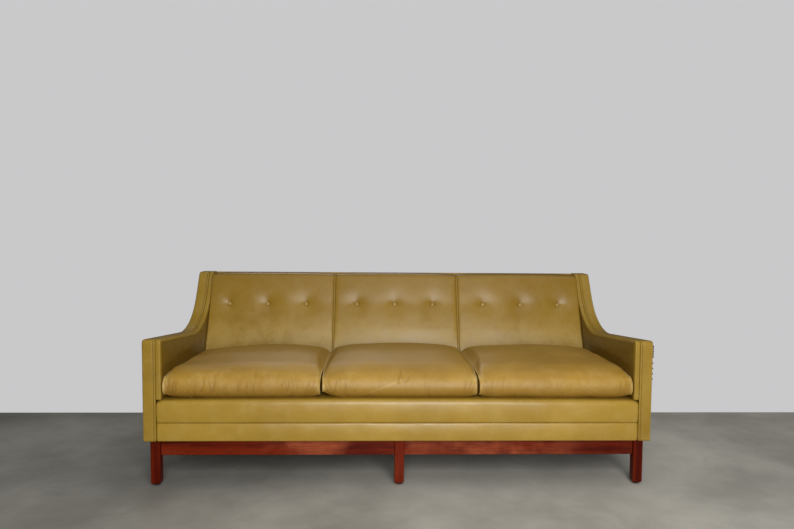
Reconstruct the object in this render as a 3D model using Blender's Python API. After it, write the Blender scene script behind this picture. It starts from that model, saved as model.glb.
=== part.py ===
"""Three-seat sofa: scooped slab arms, a buttoned back, loose seat cushions and a wooden base.

Metres, +Z up. The origin is on the floor under the middle of the sofa, +X is to the right
for someone facing it, and +Y is towards its back. "left" and "right" are that person's.
"""

import math

import bmesh
import bpy
from mathutils import Matrix, Vector

# ---- Whole sofa ----
WIDTH = 2.000
DEPTH = 0.850
HEIGHT = 0.795  # floor to the top of the wings
BODY_UNDERSIDE = 0.189  # floor to the lower edge of the covers
REAR_RAKE = math.radians(12.2)  # the outside back's lean from upright
CLEAR = 0.0003  # between pieces that touch
FRONT = -DEPTH / 2
BACK = DEPTH / 2

# ---- Arms ----
ARM_WIDTH = 0.074
ARM_HEIGHT = 0.589  # at the front
ARM_FALL = math.radians(6.0)  # the arm top's slope, down towards the back
WING_RAKE = math.radians(29.0)  # the wing's front edge, from upright
WING_DEPTH = 0.071  # the wing's top, front to back
SCOOP_RADIUS = 0.290  # the curve between arm top and wing
SCOOP_STEPS = 10
ARM_BAND = 0.010  # padded strip along the arm's front and top
ARM_BAND_ROUNDING = 0.004
ARM_OUTER_PANEL = 0.012
ARM_BOARD = 0.028

# ---- Seat ----
DECK_HEIGHT = 0.352  # floor to the top of the deck
DECK_THICKNESS = 0.012
FRONT_COVER = 0.010  # padded cover over the front rail
FRONT_BAND_HEIGHT = 0.072  # the front's lower strip, up to the seam
LIP_REACH = 0.085  # how far the lip runs back over the deck
LIP_ROUNDING = 0.018
RAIL = 0.025  # thickness of the seat rails
FRONT_RAIL_DROP = 0.025  # from the deck's underside down to each rail's top
REAR_RAIL_DROP = 0.040
CROSS_RAIL_DROP = 0.065
DUST_COVER = 0.0008
CUSHION_HEIGHT = 0.098
CUSHION_CROWN = 0.010
CUSHION_GAP = 0.002  # between cushions, and from each to the arms and the back
CUSHION_ROUNDING = 0.024
SEATS = 3

# ---- Seat springs ----
SPRINGS_PER_SEAT = 3
SPRING_WIRE = 0.0038
SPRING_HALF_WIDTH = 0.024
SPRING_BENDS = 12
SPRING_BULGE = 0.006  # how square each bend is
SPRING_CROWN = 0.016
TIE_WIRE = 0.0025

# ---- Back ----
BACK_RAKE = math.radians(20.7)
BACK_DEPTH = 0.101  # the back's top, face to rear
BACK_BELOW_WINGS = 0.005
REAR_COVER = 0.003
POST = 0.035  # thickness and width of the back posts
TOP_RAIL = 0.025
TOP_RAIL_HEIGHT = 0.045
HESSIAN = 0.0015
PAD_TOP = 0.024  # padding over the top rail
PAD_ROUNDING = 0.008
BUTTONS_PER_PANEL = 3
BUTTON_SPACING = 0.190
BUTTON_DROP = 0.142  # the back's top down to the button row
BUTTON_SHIFTS = {"left": -0.022, "middle": -0.006, "right": 0.011}  # each row's place on its panel
BUTTON_RADIUS = 0.010
BUTTON_THICKNESS = 0.006
DIMPLE_DEPTH = 0.010
DIMPLE_FLOOR_RADIUS = 0.0115
DIMPLE_MOUTH_RADIUS = 0.030

# ---- Wooden base ----
LEG = 0.038
LEG_CHAMFER = 0.003
FOOT_TAPER = 0.006
FOOT_TAPER_HEIGHT = 0.014
LEG_FROM_SIDE = 0.021
LEG_FROM_FRONT = 0.024
LEG_FROM_REAR = 0.024
APRON = 0.020
APRON_HEIGHT = 0.067
APRON_SETBACK = 0.011  # behind the leg's outer face
WOOD_BEVEL = 0.0015
GLIDE_RADIUS = 0.0115
GLIDE_HEIGHT = 0.008

ROUND_SIDES = 12

# Finishes: base colour, roughness, metallic
HIDE = (0.36, 0.235, 0.058), 0.42, 0.0
CUSHION_HIDE = (0.30, 0.18, 0.052), 0.40, 0.0
MAHOGANY = (0.16, 0.030, 0.010), 0.35, 0.0
FRAME_WOOD = (0.48, 0.33, 0.18), 0.70, 0.0
SPRING_STEEL = (0.30, 0.30, 0.31), 0.40, 1.0
GLIDE_METAL = (0.05, 0.045, 0.04), 0.45, 0.6
JUTE = (0.38, 0.27, 0.14), 0.95, 0.0
BLACK_CAMBRIC = (0.02, 0.02, 0.02), 0.95, 0.0


# ---- Lines that several pieces share ----
def rear_y(z, inset=0.0):
    """Y of the outside back at height z, or of a layer that lies inset in front of it."""
    return BACK - (HEIGHT - z) * math.tan(REAR_RAKE) - inset


def face_y(z):
    """Y of the inside back's face at height z."""
    return rear_y(BACK_TOP, BACK_DEPTH) - (BACK_TOP - z) * math.tan(BACK_RAKE)


BACK_TOP = HEIGHT - BACK_BELOW_WINGS
BUTTON_HEIGHT = BACK_TOP - BUTTON_DROP
INNER = WIDTH / 2 - ARM_WIDTH  # X of the arms' inner faces
BOARD_OUTER = WIDTH / 2 - ARM_OUTER_PANEL - CLEAR
BOARD_INNER = BOARD_OUTER - ARM_BOARD
FRAME_UNDERSIDE = BODY_UNDERSIDE + CLEAR + DUST_COVER + CLEAR
SEAT_WIDTH = 2 * INNER / SEATS
PANEL_REAR = REAR_COVER + CLEAR  # insets from the outside back, layer by layer
POST_FRONT = PANEL_REAR + POST
HESSIAN_FRONT = POST_FRONT + CLEAR + HESSIAN
PAD_REAR = HESSIAN_FRONT + CLEAR
DECK_UNDERSIDE = DECK_HEIGHT - DECK_THICKNESS
FRONT_RAIL_TOP = DECK_UNDERSIDE - FRONT_RAIL_DROP
REAR_RAIL_TOP = DECK_UNDERSIDE - REAR_RAIL_DROP
CROSS_RAIL_TOP = DECK_UNDERSIDE - CROSS_RAIL_DROP
FRONT_SEAM_HEIGHT = BODY_UNDERSIDE + FRONT_BAND_HEIGHT
SPRING_SPACING = SEAT_WIDTH / SPRINGS_PER_SEAT
LEG_X = WIDTH / 2 - LEG_FROM_SIDE - LEG / 2
LEG_FRONT_Y = FRONT + LEG_FROM_FRONT + LEG / 2
LEG_REAR_Y = rear_y(BODY_UNDERSIDE) - LEG_FROM_REAR - LEG / 2
LEG_TOP = BODY_UNDERSIDE - CLEAR


def seat_middles():
    """(name, X) of each seat, from left to right."""
    names = ("left", "middle", "right")
    return [(name, (i - (SEATS - 1) / 2) * SEAT_WIDTH) for i, name in enumerate(names)]


def sides():
    return (("left", -1), ("right", 1))


# ---- Making objects ----
def clear_scene():
    for obj in list(bpy.data.objects):
        bpy.data.objects.remove(obj, do_unlink=True)


def group_at(name, parent=None):
    """An empty that holds one group of the sofa's pieces."""
    empty = bpy.data.objects.new(name, None)
    empty.parent = parent
    bpy.context.scene.collection.objects.link(empty)
    return empty


def material_for(name, finish):
    colour, roughness, metallic = finish
    material = bpy.data.materials.new(name)
    material.use_nodes = True
    shader = material.node_tree.nodes["Principled BSDF"]
    shader.inputs["Base Color"].default_value = (*colour, 1.0)
    shader.inputs["Roughness"].default_value = roughness
    shader.inputs["Metallic"].default_value = metallic
    return material


def add_piece(name, bm, location, parent, finish):
    """Turns a bmesh into a named object with its own material."""
    mesh = bpy.data.meshes.new(name)
    bmesh.ops.recalc_face_normals(bm, faces=bm.faces)
    bm.to_mesh(mesh)
    bm.free()
    obj = bpy.data.objects.new(name, mesh)
    obj.location = location
    obj.parent = parent
    bpy.context.scene.collection.objects.link(obj)
    if finish is None:
        obj.hide_render = True
        obj.display_type = "WIRE"
    else:
        mesh.materials.append(material_for(name, finish))
    return obj


def round_edges(obj, width, segments=2, over=50.0):
    """Rounds the outer edges that turn by more than the angle given in degrees; inner corners stay."""
    bm = bmesh.new()
    bm.from_mesh(obj.data)
    weight = bm.edges.layers.float.new("bevel_weight_edge")
    for edge in bm.edges:
        edge[weight] = float(edge.is_convex and edge.calc_face_angle() > math.radians(over))
    bm.to_mesh(obj.data)
    bm.free()
    bevel = obj.modifiers.new("rounded edges", "BEVEL")
    bevel.width = width
    bevel.segments = segments
    bevel.limit_method = "WEIGHT"
    return obj


def smooth(obj, sharp=40.0):
    obj.data.shade_smooth()
    obj.data.set_sharp_from_angle(angle=math.radians(sharp))
    return obj


def box(name, low, high, parent, finish, rounding=0.0):
    """A block between two corners, standing at its own middle."""
    low, high = Vector(low), Vector(high)
    bm = bmesh.new()
    bmesh.ops.create_cube(bm, size=1.0, matrix=Matrix.Diagonal((*(high - low), 1.0)))
    obj = add_piece(name, bm, (low + high) / 2, parent, finish)
    return round_edges(obj, rounding, 1) if rounding else obj


def prism(name, outline, x_low, x_high, parent, finish):
    """An outline of (y, z) points carried along X, standing at its first point."""
    corner = Vector((0.0, *outline[0]))
    half = (x_high - x_low) / 2
    bm = bmesh.new()
    ends = []
    for x in (-half, half):
        ends.append([bm.verts.new(Vector((x, y, z)) - corner) for y, z in outline])
        bm.faces.new(ends[-1])
    for i, vert in enumerate(ends[0]):
        before = ends[0][i - 1]
        bm.faces.new((before, vert, ends[1][i], ends[1][i - 1]))
    middle = Vector(((x_low + x_high) / 2, *outline[0]))
    return add_piece(name, bm, middle, parent, finish)


def turned(name, profile, matrix, parent, finish):
    """A profile of (radius, height) points turned about Z, closed at both ends."""
    bm = bmesh.new()
    rings = []
    for radius, height in profile:
        turns = [2 * math.pi * i / ROUND_SIDES for i in range(ROUND_SIDES)]
        ring = [(radius * math.cos(t), radius * math.sin(t), height) for t in turns]
        rings.append([bm.verts.new(point) for point in ring])
    for lower, upper in zip(rings, rings[1:]):
        for i in range(ROUND_SIDES):
            bm.faces.new((lower[i - 1], lower[i], upper[i], upper[i - 1]))
    bm.faces.new(rings[0])
    bm.faces.new(rings[-1])
    obj = add_piece(name, bm, (0, 0, 0), parent, finish)
    obj.matrix_local = matrix
    return smooth(obj) if finish else obj


def combine(obj, tool, operation):
    cut = obj.modifiers.new(tool.name, "BOOLEAN")
    cut.operation = operation
    cut.solver = "EXACT"
    cut.object = tool


# ---- Outlines in the side view ----
def leaning(inset_rear, inset_front, z_low, z_high):
    """Outline of a layer parallel to the outside back, between two insets and two heights."""
    return [
        (rear_y(z_low, inset_front), z_low),
        (rear_y(z_low, inset_rear), z_low),
        (rear_y(z_high, inset_rear), z_high),
        (rear_y(z_high, inset_front), z_high),
    ]


def running_back(y_start, inset_end, z_low, z_high):
    """Outline of a rail that starts upright at y_start and ends against a leaning layer."""
    end_low, end_high = rear_y(z_low, inset_end), rear_y(z_high, inset_end)
    return [(y_start, z_low), (end_low, z_low), (end_high, z_high), (y_start, z_high)]


def scoop_path():
    """The arm's edge from its lower front corner to the wing's rear: straight runs and one arc."""
    front_top = Vector((FRONT, ARM_HEIGHT))
    wing_top = Vector((BACK - WING_DEPTH, HEIGHT))
    along_arm = Vector((math.cos(ARM_FALL), -math.sin(ARM_FALL)))
    up_wing = Vector((math.sin(WING_RAKE), math.cos(WING_RAKE)))
    # The two straight runs would meet here; the arc takes the corner's place.
    gap = wing_top - front_top
    run = (gap.x * up_wing.y - gap.y * up_wing.x) / along_arm.cross(up_wing)
    corner = front_top + along_arm * run
    turn = along_arm.angle(up_wing)
    reach = min(SCOOP_RADIUS * math.tan(turn / 2), 0.9 * (wing_top - corner).length, 0.9 * run)
    radius = reach / math.tan(turn / 2)
    start = corner - along_arm * reach
    upward = Vector((math.sin(ARM_FALL), math.cos(ARM_FALL)))
    arc = []
    for step in range(SCOOP_STEPS + 1):
        angle = turn * step / SCOOP_STEPS
        rise = upward * radius * (1 - math.cos(angle))
        arc.append(start + along_arm * radius * math.sin(angle) + rise)
    rear_top = Vector((rear_y(HEIGHT, PANEL_REAR), HEIGHT))
    return [Vector((FRONT, BODY_UNDERSIDE)), front_top, *arc, wing_top, rear_top]


def inset_path(path, distance, rear_inset):
    """The path moved inwards, its corners mitred and its last point back on the rear line."""
    heads = [(b - a).normalized() for a, b in zip(path, path[1:])]
    moved = []
    for i, point in enumerate(path):
        before = heads[max(i - 1, 0)]
        after = heads[min(i, len(heads) - 1)]
        middle = (before + after).normalized()
        inward = Vector((middle.y, -middle.x))
        moved.append(point + inward * distance / inward.dot(Vector((before.y, -before.x))))
    moved[-1].x = rear_y(moved[-1].y, rear_inset)
    return moved


# ---- Wooden base ----
def leg(name, x, y, base):
    """A square leg with planed edges, its foot tapering in. Each level is an eight-sided ring."""
    levels = [
        (GLIDE_HEIGHT + CLEAR, LEG / 2 - FOOT_TAPER),
        (GLIDE_HEIGHT + CLEAR + FOOT_TAPER_HEIGHT, LEG / 2),
        (LEG_TOP, LEG / 2),
    ]
    bm = bmesh.new()
    rings = []
    for z, half in levels:
        ring = []
        for quarter in range(4):
            turn = Matrix.Rotation(math.radians(90) * quarter, 3, "Z")
            flat = half - LEG_CHAMFER
            for corner in (Vector((-half, -flat, z)), Vector((-flat, -half, z))):
                ring.append(bm.verts.new(turn @ corner))
        rings.append(ring)
    for lower, upper in zip(rings, rings[1:]):
        for i in range(len(lower)):
            bm.faces.new((lower[i - 1], lower[i], upper[i], upper[i - 1]))
    bm.faces.new(rings[0])
    bm.faces.new(rings[-1])
    return add_piece(name, bm, (x, y, 0), base, MAHOGANY)


def glide(name, x, y, base):
    """A nail-on glide: a steel dome with a small flat to stand on."""
    r = GLIDE_RADIUS
    h = GLIDE_HEIGHT
    profile = [(0.45 * r, 0.0), (0.78 * r, 0.2 * h), (0.96 * r, 0.6 * h), (r, h)]
    turned(name, profile, Matrix.Translation((x, y, 0)), base, GLIDE_METAL)


def wooden_base(sofa):
    base = group_at("base", sofa)
    rows = (("front", LEG_FRONT_Y, 1), ("rear", LEG_REAR_Y, -1))
    columns = (("left", -LEG_X), ("middle", 0.0), ("right", LEG_X))
    apron_low = BODY_UNDERSIDE - APRON_HEIGHT
    between = LEG_X - LEG / 2 - CLEAR
    for row, y, inward in rows:
        outer = y - inward * (LEG / 2 - APRON_SETBACK)
        low_y, high_y = sorted((outer, outer + inward * APRON))
        low, high = (-between, low_y, apron_low), (between, high_y, LEG_TOP)
        box(f"{row}_apron", low, high, base, MAHOGANY, WOOD_BEVEL)
        for column, x in columns:
            post = leg(f"{row}_{column}_leg", x, y, base)
            glide(f"{row}_{column}_glide", x, y, base)
            if column == "middle":
                # The middle leg straddles the apron in a slot open at its top.
                low = (x - LEG, low_y - CLEAR, apron_low - CLEAR)
                high = (x + LEG, high_y + CLEAR, LEG_TOP + LEG)
                combine(post, box(f"{row}_slot_cutter", low, high, base, None), "DIFFERENCE")
    for side, sign in sides():
        outer = sign * (LEG_X + LEG / 2 - APRON_SETBACK)
        low_x, high_x = sorted((outer, outer - sign * APRON))
        low = (low_x, LEG_FRONT_Y + LEG / 2 + CLEAR, apron_low)
        high = (high_x, LEG_REAR_Y - LEG / 2 - CLEAR, LEG_TOP)
        box(f"{side}_side_apron", low, high, base, MAHOGANY, WOOD_BEVEL)
    low = (-APRON / 2, LEG_FRONT_Y + LEG / 2 + CLEAR, apron_low)
    high = (APRON / 2, LEG_REAR_Y - LEG / 2 - CLEAR, LEG_TOP)
    box("base_stretcher", low, high, base, MAHOGANY, WOOD_BEVEL)


# ---- Hardwood frame ----
RAIL_FRONT_Y = FRONT + FRONT_COVER + CLEAR  # front face of the front rail
RAIL_BACK_Y = RAIL_FRONT_Y + RAIL  # its rear face
REAR_RAIL_FRONT = POST_FRONT + CLEAR + RAIL  # inset of the rear rail's front face
SIDE_RAIL_OUTER = BOARD_INNER - CLEAR
SIDE_RAIL_INNER = SIDE_RAIL_OUTER - RAIL


def seat_frame(sofa):
    frame = group_at("seat_frame", sofa)
    low_z = FRAME_UNDERSIDE
    reach = SIDE_RAIL_OUTER
    low = (-reach, RAIL_FRONT_Y, low_z)
    box("front_seat_rail", low, (reach, RAIL_BACK_Y, FRONT_RAIL_TOP), frame, FRAME_WOOD)
    rear = leaning(POST_FRONT + CLEAR, REAR_RAIL_FRONT, low_z, REAR_RAIL_TOP)
    prism("rear_seat_rail", rear, -reach, reach, frame, FRAME_WOOD)
    start = RAIL_BACK_Y + CLEAR
    for side, sign in sides():
        x_low, x_high = sorted((sign * SIDE_RAIL_INNER, sign * SIDE_RAIL_OUTER))
        side_rail = running_back(start, REAR_RAIL_FRONT + CLEAR, low_z, REAR_RAIL_TOP)
        prism(f"{side}_side_rail", side_rail, x_low, x_high, frame, FRAME_WOOD)
        middle = sign * SEAT_WIDTH / 2
        cross_rail = running_back(start, REAR_RAIL_FRONT + CLEAR, low_z, CROSS_RAIL_TOP)
        prism(f"{side}_cross_rail", cross_rail, middle - RAIL / 2, middle + RAIL / 2, frame, FRAME_WOOD)


def back_frame(sofa):
    frame = group_at("back_frame", sofa)
    rail_high = BACK_TOP - PAD_TOP
    rail_low = rail_high - TOP_RAIL_HEIGHT
    for side, sign in sides():
        x_low, x_high = sorted((sign * INNER, sign * (BOARD_INNER - CLEAR)))
        outline = leaning(PANEL_REAR, POST_FRONT, FRAME_UNDERSIDE, HEIGHT - ARM_BAND - CLEAR)
        prism(f"{side}_end_post", outline, x_low, x_high, frame, FRAME_WOOD)
        middle = sign * SEAT_WIDTH / 2
        outline = leaning(PANEL_REAR, POST_FRONT, FRAME_UNDERSIDE, rail_low - CLEAR)
        prism(f"{side}_middle_post", outline, middle - POST / 2, middle + POST / 2, frame, FRAME_WOOD)
    between = INNER - CLEAR
    top = leaning(PANEL_REAR, PANEL_REAR + TOP_RAIL, rail_low, rail_high)
    prism("top_rail", top, -between, between, frame, FRAME_WOOD)
    sheet = leaning(POST_FRONT + CLEAR, HESSIAN_FRONT, DECK_HEIGHT + 2 * CLEAR, rail_high - CLEAR)
    prism("back_hessian", sheet, -between, between, frame, JUTE)


# ---- Arms ----
def arm(side, sign, sofa):
    group = group_at(f"{side}_arm", sofa)
    edge = scoop_path()

    def placed(name, outline, inner, outer, finish):
        x_low, x_high = sorted((sign * inner, sign * outer))
        return prism(f"{side}_{name}", [tuple(p) for p in outline], x_low, x_high, group, finish)

    band_outline = edge + inset_path(edge, ARM_BAND, PANEL_REAR)[::-1]
    band = placed("arm_band", band_outline, INNER, WIDTH / 2, HIDE)
    round_edges(band, ARM_BAND_ROUNDING)

    filling = inset_path(edge, ARM_BAND + CLEAR, PANEL_REAR)
    low_rear = (rear_y(BODY_UNDERSIDE, PANEL_REAR), BODY_UNDERSIDE)
    placed("arm_outer_panel", [*filling, low_rear], BOARD_OUTER + CLEAR, WIDTH / 2, HIDE)

    board = [Vector((filling[0].x, FRAME_UNDERSIDE)), *filling[1:]]
    board.append((rear_y(FRAME_UNDERSIDE, PANEL_REAR), FRAME_UNDERSIDE))
    placed("arm_board", board, BOARD_INNER, BOARD_OUTER, FRAME_WOOD)

    low_z = max(FRONT_RAIL_TOP, REAR_RAIL_TOP) + CLEAR
    before_post = POST_FRONT + CLEAR
    filling = inset_path(edge, ARM_BAND + CLEAR, before_post)
    pad = [Vector((filling[0].x, low_z)), *filling[1:], (rear_y(low_z, before_post), low_z)]
    placed("arm_inner_pad", pad, INNER, BOARD_INNER - CLEAR, HIDE)


# ---- Springs, deck and covers ----
def spring_wire(bm, points, radius):
    """A square wire through the points, closed at both ends."""
    up = Vector((0, 0, 1))
    rings = []
    for i, point in enumerate(points):
        ahead = points[min(i + 1, len(points) - 1)] - points[max(i - 1, 0)]
        across = ahead.cross(up).normalized()
        over = across.cross(ahead).normalized()
        corners = ((-1, -1), (1, -1), (1, 1), (-1, 1))
        rings.append([bm.verts.new(point + (across * a + over * b) * radius) for a, b in corners])
    for before, after in zip(rings, rings[1:]):
        for i in range(4):
            bm.faces.new((before[i - 1], before[i], after[i], after[i - 1]))
    bm.faces.new(rings[0])
    bm.faces.new(rings[-1])


def spring_line(along):
    """(y, z) of a seat spring's middle line: from the front rail's top to the rear rail's, arched."""
    half = SPRING_WIRE / 2 + CLEAR
    y_front = RAIL_FRONT_Y + RAIL / 2
    y_rear = rear_y(REAR_RAIL_TOP, POST_FRONT + CLEAR + RAIL / 2)
    arch = 4 * along * (1 - along) * SPRING_CROWN
    z = (1 - along) * FRONT_RAIL_TOP + along * REAR_RAIL_TOP + half + arch
    return y_front + along * (y_rear - y_front), z


def seat_springs(name, middle, group):
    """Zigzag springs side by side, held together by two tie wires."""
    quarter_bends = 4 * SPRING_BENDS
    pieces = []
    for row in range(SPRINGS_PER_SEAT):
        x = middle + (row - (SPRINGS_PER_SEAT - 1) / 2) * SPRING_SPACING
        points = []
        for step in range(quarter_bends + 1):
            turn = math.pi * step / 4
            y, z = spring_line(step / quarter_bends)
            bulge = SPRING_BULGE * math.sin(2 * turn)
            points.append(Vector((x + SPRING_HALF_WIDTH * math.cos(turn), y + bulge, z)))
        bm = bmesh.new()
        spring_wire(bm, points, SPRING_WIRE / 2)
        first = row == 0
        piece_name = name if first else f"{name}_row_{row}"
        pieces.append(add_piece(piece_name, bm, (0, 0, 0), group, SPRING_STEEL if first else None))
    reach = (SPRINGS_PER_SEAT - 1) / 2 * SPRING_SPACING + SPRING_HALF_WIDTH + SPRING_WIRE
    for tie, bend in enumerate((SPRING_BENDS // 3, SPRING_BENDS - SPRING_BENDS // 3)):
        y, z = spring_line(bend / SPRING_BENDS)
        bm = bmesh.new()
        ends = [Vector((middle - reach, y, z)), Vector((middle + reach, y, z))]
        spring_wire(bm, ends, TIE_WIRE / 2)
        pieces.append(add_piece(f"{name}_tie_{tie}", bm, (0, 0, 0), group, None))
    for tool in pieces[1:]:
        combine(pieces[0], tool, "UNION")


def lip_outline():
    """The front's upper strip: up the rail's face, round its top edge and back over the deck."""
    front, top, r = FRONT, DECK_HEIGHT, LIP_ROUNDING
    low = FRONT_SEAM_HEIGHT + CLEAR
    outer = [(front, low)]
    for step in range(5):
        angle = math.radians(90 * step / 4)
        outer.append((front + r * (1 - math.cos(angle)), top - r * (1 - math.sin(angle))))
    rear = front + LIP_REACH
    inside = front + FRONT_COVER
    return [*outer, (rear, top), (rear, DECK_UNDERSIDE), (inside, DECK_UNDERSIDE), (inside, low)]


def seat(sofa):
    group = group_at("seat", sofa)
    for name, middle in seat_middles():
        seat_springs(f"{name}_seat_springs", middle, group)
    reach = INNER - CLEAR
    lip = prism("front_lip_cover", lip_outline(), -reach, reach, group, HIDE)
    smooth(lip)
    low = (-reach, FRONT, BODY_UNDERSIDE)
    high = (reach, FRONT + FRONT_COVER, FRONT_SEAM_HEIGHT)
    box("front_band_cover", low, high, group, HIDE, 0.002)
    deck_start = FRONT + LIP_REACH + CLEAR
    deck_end = rear_y(DECK_UNDERSIDE, POST_FRONT + CLEAR)
    low = (-reach, deck_start, DECK_UNDERSIDE)
    box("seat_deck", low, (reach, deck_end, DECK_HEIGHT), group, HIDE)
    edge = BOARD_OUTER - CLEAR
    low = (-edge, FRONT + FRONT_COVER + CLEAR, BODY_UNDERSIDE + CLEAR)
    high_z = low[2] + DUST_COVER
    high = (edge, rear_y(BODY_UNDERSIDE, PANEL_REAR), high_z)
    box("dust_cover", low, high, group, BLACK_CAMBRIC)
    for name, middle in seat_middles():
        cushion(f"{name}_seat_cushion", middle, group)


def cushion(name, middle, group):
    """A loose seat cushion: a rounded block with a crowned top, its rear leaning with the back."""
    low = DECK_HEIGHT + CLEAR
    high = low + CUSHION_HEIGHT
    front = FRONT + CUSHION_GAP
    rear = face_y(high - CUSHION_CROWN) - CUSHION_GAP
    crown = [0.0, 0.6, 1.0, 1.0, 0.6, 0.0]
    top = []
    for i, lift in enumerate(crown):
        along = i / (len(crown) - 1)
        top.append((rear + along * (front - rear), high + (lift - 1.0) * CUSHION_CROWN))
    outline = [(front, low), (face_y(low) - CUSHION_GAP, low), *top]
    half = SEAT_WIDTH / 2 - CUSHION_GAP / 2
    piece = prism(name, outline, middle - half, middle + half, group, CUSHION_HIDE)
    smooth(round_edges(piece, CUSHION_ROUNDING, 3), 60)


# ---- Back ----
def pad_outline():
    """A back panel from the deck, up its face, over the top rail and down to the hessian."""
    low = DECK_HEIGHT + 2 * CLEAR
    over_rail = BACK_TOP - PAD_TOP + CLEAR
    return [
        (rear_y(low, PAD_REAR), low),
        (rear_y(over_rail, PAD_REAR), over_rail),
        (rear_y(over_rail, PANEL_REAR), over_rail),
        (rear_y(BACK_TOP, PANEL_REAR), BACK_TOP),
        (face_y(BACK_TOP), BACK_TOP),
        (face_y(low), low),
    ]


def button_profile(low):
    """(radius, height) points of a covered button's dome, widest a third of the way up."""
    r, h = BUTTON_RADIUS, BUTTON_THICKNESS
    return [(0.9 * r, low), (r, low + h / 3), (0.75 * r, low + 0.8 * h), (0.35 * r, low + h)]


def back(sofa):
    group = group_at("back", sofa)
    facing = Matrix.Rotation(math.radians(90) - BACK_RAKE, 4, "X")
    for name, middle in seat_middles():
        half = SEAT_WIDTH / 2 - CLEAR
        pad = prism(f"{name}_back_pad", pad_outline(), middle - half, middle + half, group, HIDE)
        round_edges(pad, PAD_ROUNDING)
        for i in range(BUTTONS_PER_PANEL):
            x = middle + BUTTON_SHIFTS[name] + (i - (BUTTONS_PER_PANEL - 1) / 2) * BUTTON_SPACING
            on_face = Matrix.Translation((x, face_y(BUTTON_HEIGHT), BUTTON_HEIGHT)) @ facing
            depth = DIMPLE_DEPTH
            mouth = DIMPLE_MOUTH_RADIUS
            profile = [(DIMPLE_FLOOR_RADIUS, -depth), (mouth, 0.0), (mouth, depth)]
            cutter = turned(f"{name}_dimple_{i + 1}", profile, on_face, group, None)
            combine(pad, cutter, "DIFFERENCE")
            turned(f"{name}_button_{i + 1}", button_profile(CLEAR - depth), on_face, group, HIDE)
    panel = leaning(0.0, REAR_COVER, BODY_UNDERSIDE, HEIGHT)
    prism("outside_back", panel, -WIDTH / 2, WIDTH / 2, group, HIDE)


clear_scene()
whole = group_at("sofa")
wooden_base(whole)
seat_frame(whole)
back_frame(whole)
for side_name, side_sign in sides():
    arm(side_name, side_sign, whole)
seat(whole)
back(whole)
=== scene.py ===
"""A three-seat leather sofa on a wooden base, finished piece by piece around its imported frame.

Metres, +Z up, +X to the right for someone facing the sofa, +Y towards its back.
"""

import math

import bmesh
import bpy
import numpy as np
from mathutils import Matrix, Vector


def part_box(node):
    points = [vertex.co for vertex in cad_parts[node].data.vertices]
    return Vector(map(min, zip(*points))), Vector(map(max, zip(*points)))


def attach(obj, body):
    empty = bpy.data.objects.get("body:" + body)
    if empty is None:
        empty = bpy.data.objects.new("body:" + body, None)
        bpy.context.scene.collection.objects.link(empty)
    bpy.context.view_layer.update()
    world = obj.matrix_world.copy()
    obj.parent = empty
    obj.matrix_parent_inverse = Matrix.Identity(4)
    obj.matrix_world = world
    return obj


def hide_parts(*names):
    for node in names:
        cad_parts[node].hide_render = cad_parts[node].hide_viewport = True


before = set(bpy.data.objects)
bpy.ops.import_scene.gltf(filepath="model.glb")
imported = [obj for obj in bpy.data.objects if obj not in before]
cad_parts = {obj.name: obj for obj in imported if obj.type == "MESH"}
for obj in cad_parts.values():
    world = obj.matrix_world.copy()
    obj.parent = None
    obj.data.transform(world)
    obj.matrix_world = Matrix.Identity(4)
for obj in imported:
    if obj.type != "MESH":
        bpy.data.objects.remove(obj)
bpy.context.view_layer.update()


# ---- Camera ----
# A 28 mm view from a little above the back's top, just left of the middle, looking slightly down.
CAMERA_PLACE = Vector((-0.0839, -2.8047, 1.0224))
CAMERA_TURN, CAMERA_DIP, CAMERA_ROLL = 0.0285, 0.058, 0.008  # radians

ahead = Vector((
    math.sin(CAMERA_TURN) * math.cos(CAMERA_DIP),
    math.cos(CAMERA_TURN) * math.cos(CAMERA_DIP),
    -math.sin(CAMERA_DIP),
))
level_right = Vector((math.cos(CAMERA_TURN), -math.sin(CAMERA_TURN), 0.0))
level_up = level_right.cross(ahead)
right = math.cos(CAMERA_ROLL) * level_right + math.sin(CAMERA_ROLL) * level_up
up = right.cross(ahead)
camera = bpy.data.objects.new("camera", bpy.data.cameras.new("camera"))
camera.data.lens = 28.0
camera.data.sensor_width = 36.0
camera.matrix_world = Matrix.Translation(CAMERA_PLACE) @ Matrix((right, up, -ahead)).transposed().to_4x4()
bpy.context.scene.collection.objects.link(camera)
bpy.context.scene.camera = camera


# ---- Studio ----
# A cement floor that stops behind the sofa, a pale surround, one broad soft light in front, one
# overhead, and a weak one behind.
def add(tree, kind, values=None, **settings):
    """A shader node with its settings made and its inputs set, or linked where a value is a socket."""
    made = tree.nodes.new(kind)
    for name, value in settings.items():
        setattr(made, name, value)
    for name, value in (values or {}).items():
        if isinstance(value, bpy.types.NodeSocket):
            tree.links.new(value, made.inputs[name])
        else:
            made.inputs[name].default_value = value
    return made


def calc(tree, operation, first, second=0.0):
    """One sum or product of two numbers that vary over the surface."""
    return add(tree, "ShaderNodeMath", {0: first, 1: second}, operation=operation).outputs[0]


def mixed(tree, amount, first, second, way="MIX"):
    """Two colours mixed by an amount from 0 to 1."""
    values = {0: amount, 6: first, 7: second}
    made = add(tree, "ShaderNodeMix", values, data_type="RGBA", blend_type=way)
    return made.outputs[2]


def spread(tree, value, low, high, to_low=0.0, to_high=1.0):
    """A number carried from one range to another, smoothly, and held at the ends."""
    values = {0: value, 1: low, 2: high, 3: to_low, 4: to_high}
    made = add(tree, "ShaderNodeMapRange", values, interpolation_type="SMOOTHSTEP")
    return made.outputs[0]


def noise(tree, vector, scale, detail=3.0, roughness=0.55, distortion=0.0):
    """Cloudy noise from 0 to 1."""
    values = {"Vector": vector, "Scale": scale, "Detail": detail, "Roughness": roughness,
              "Distortion": distortion}
    return add(tree, "ShaderNodeTexNoise", values).outputs["Fac"]


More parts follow.
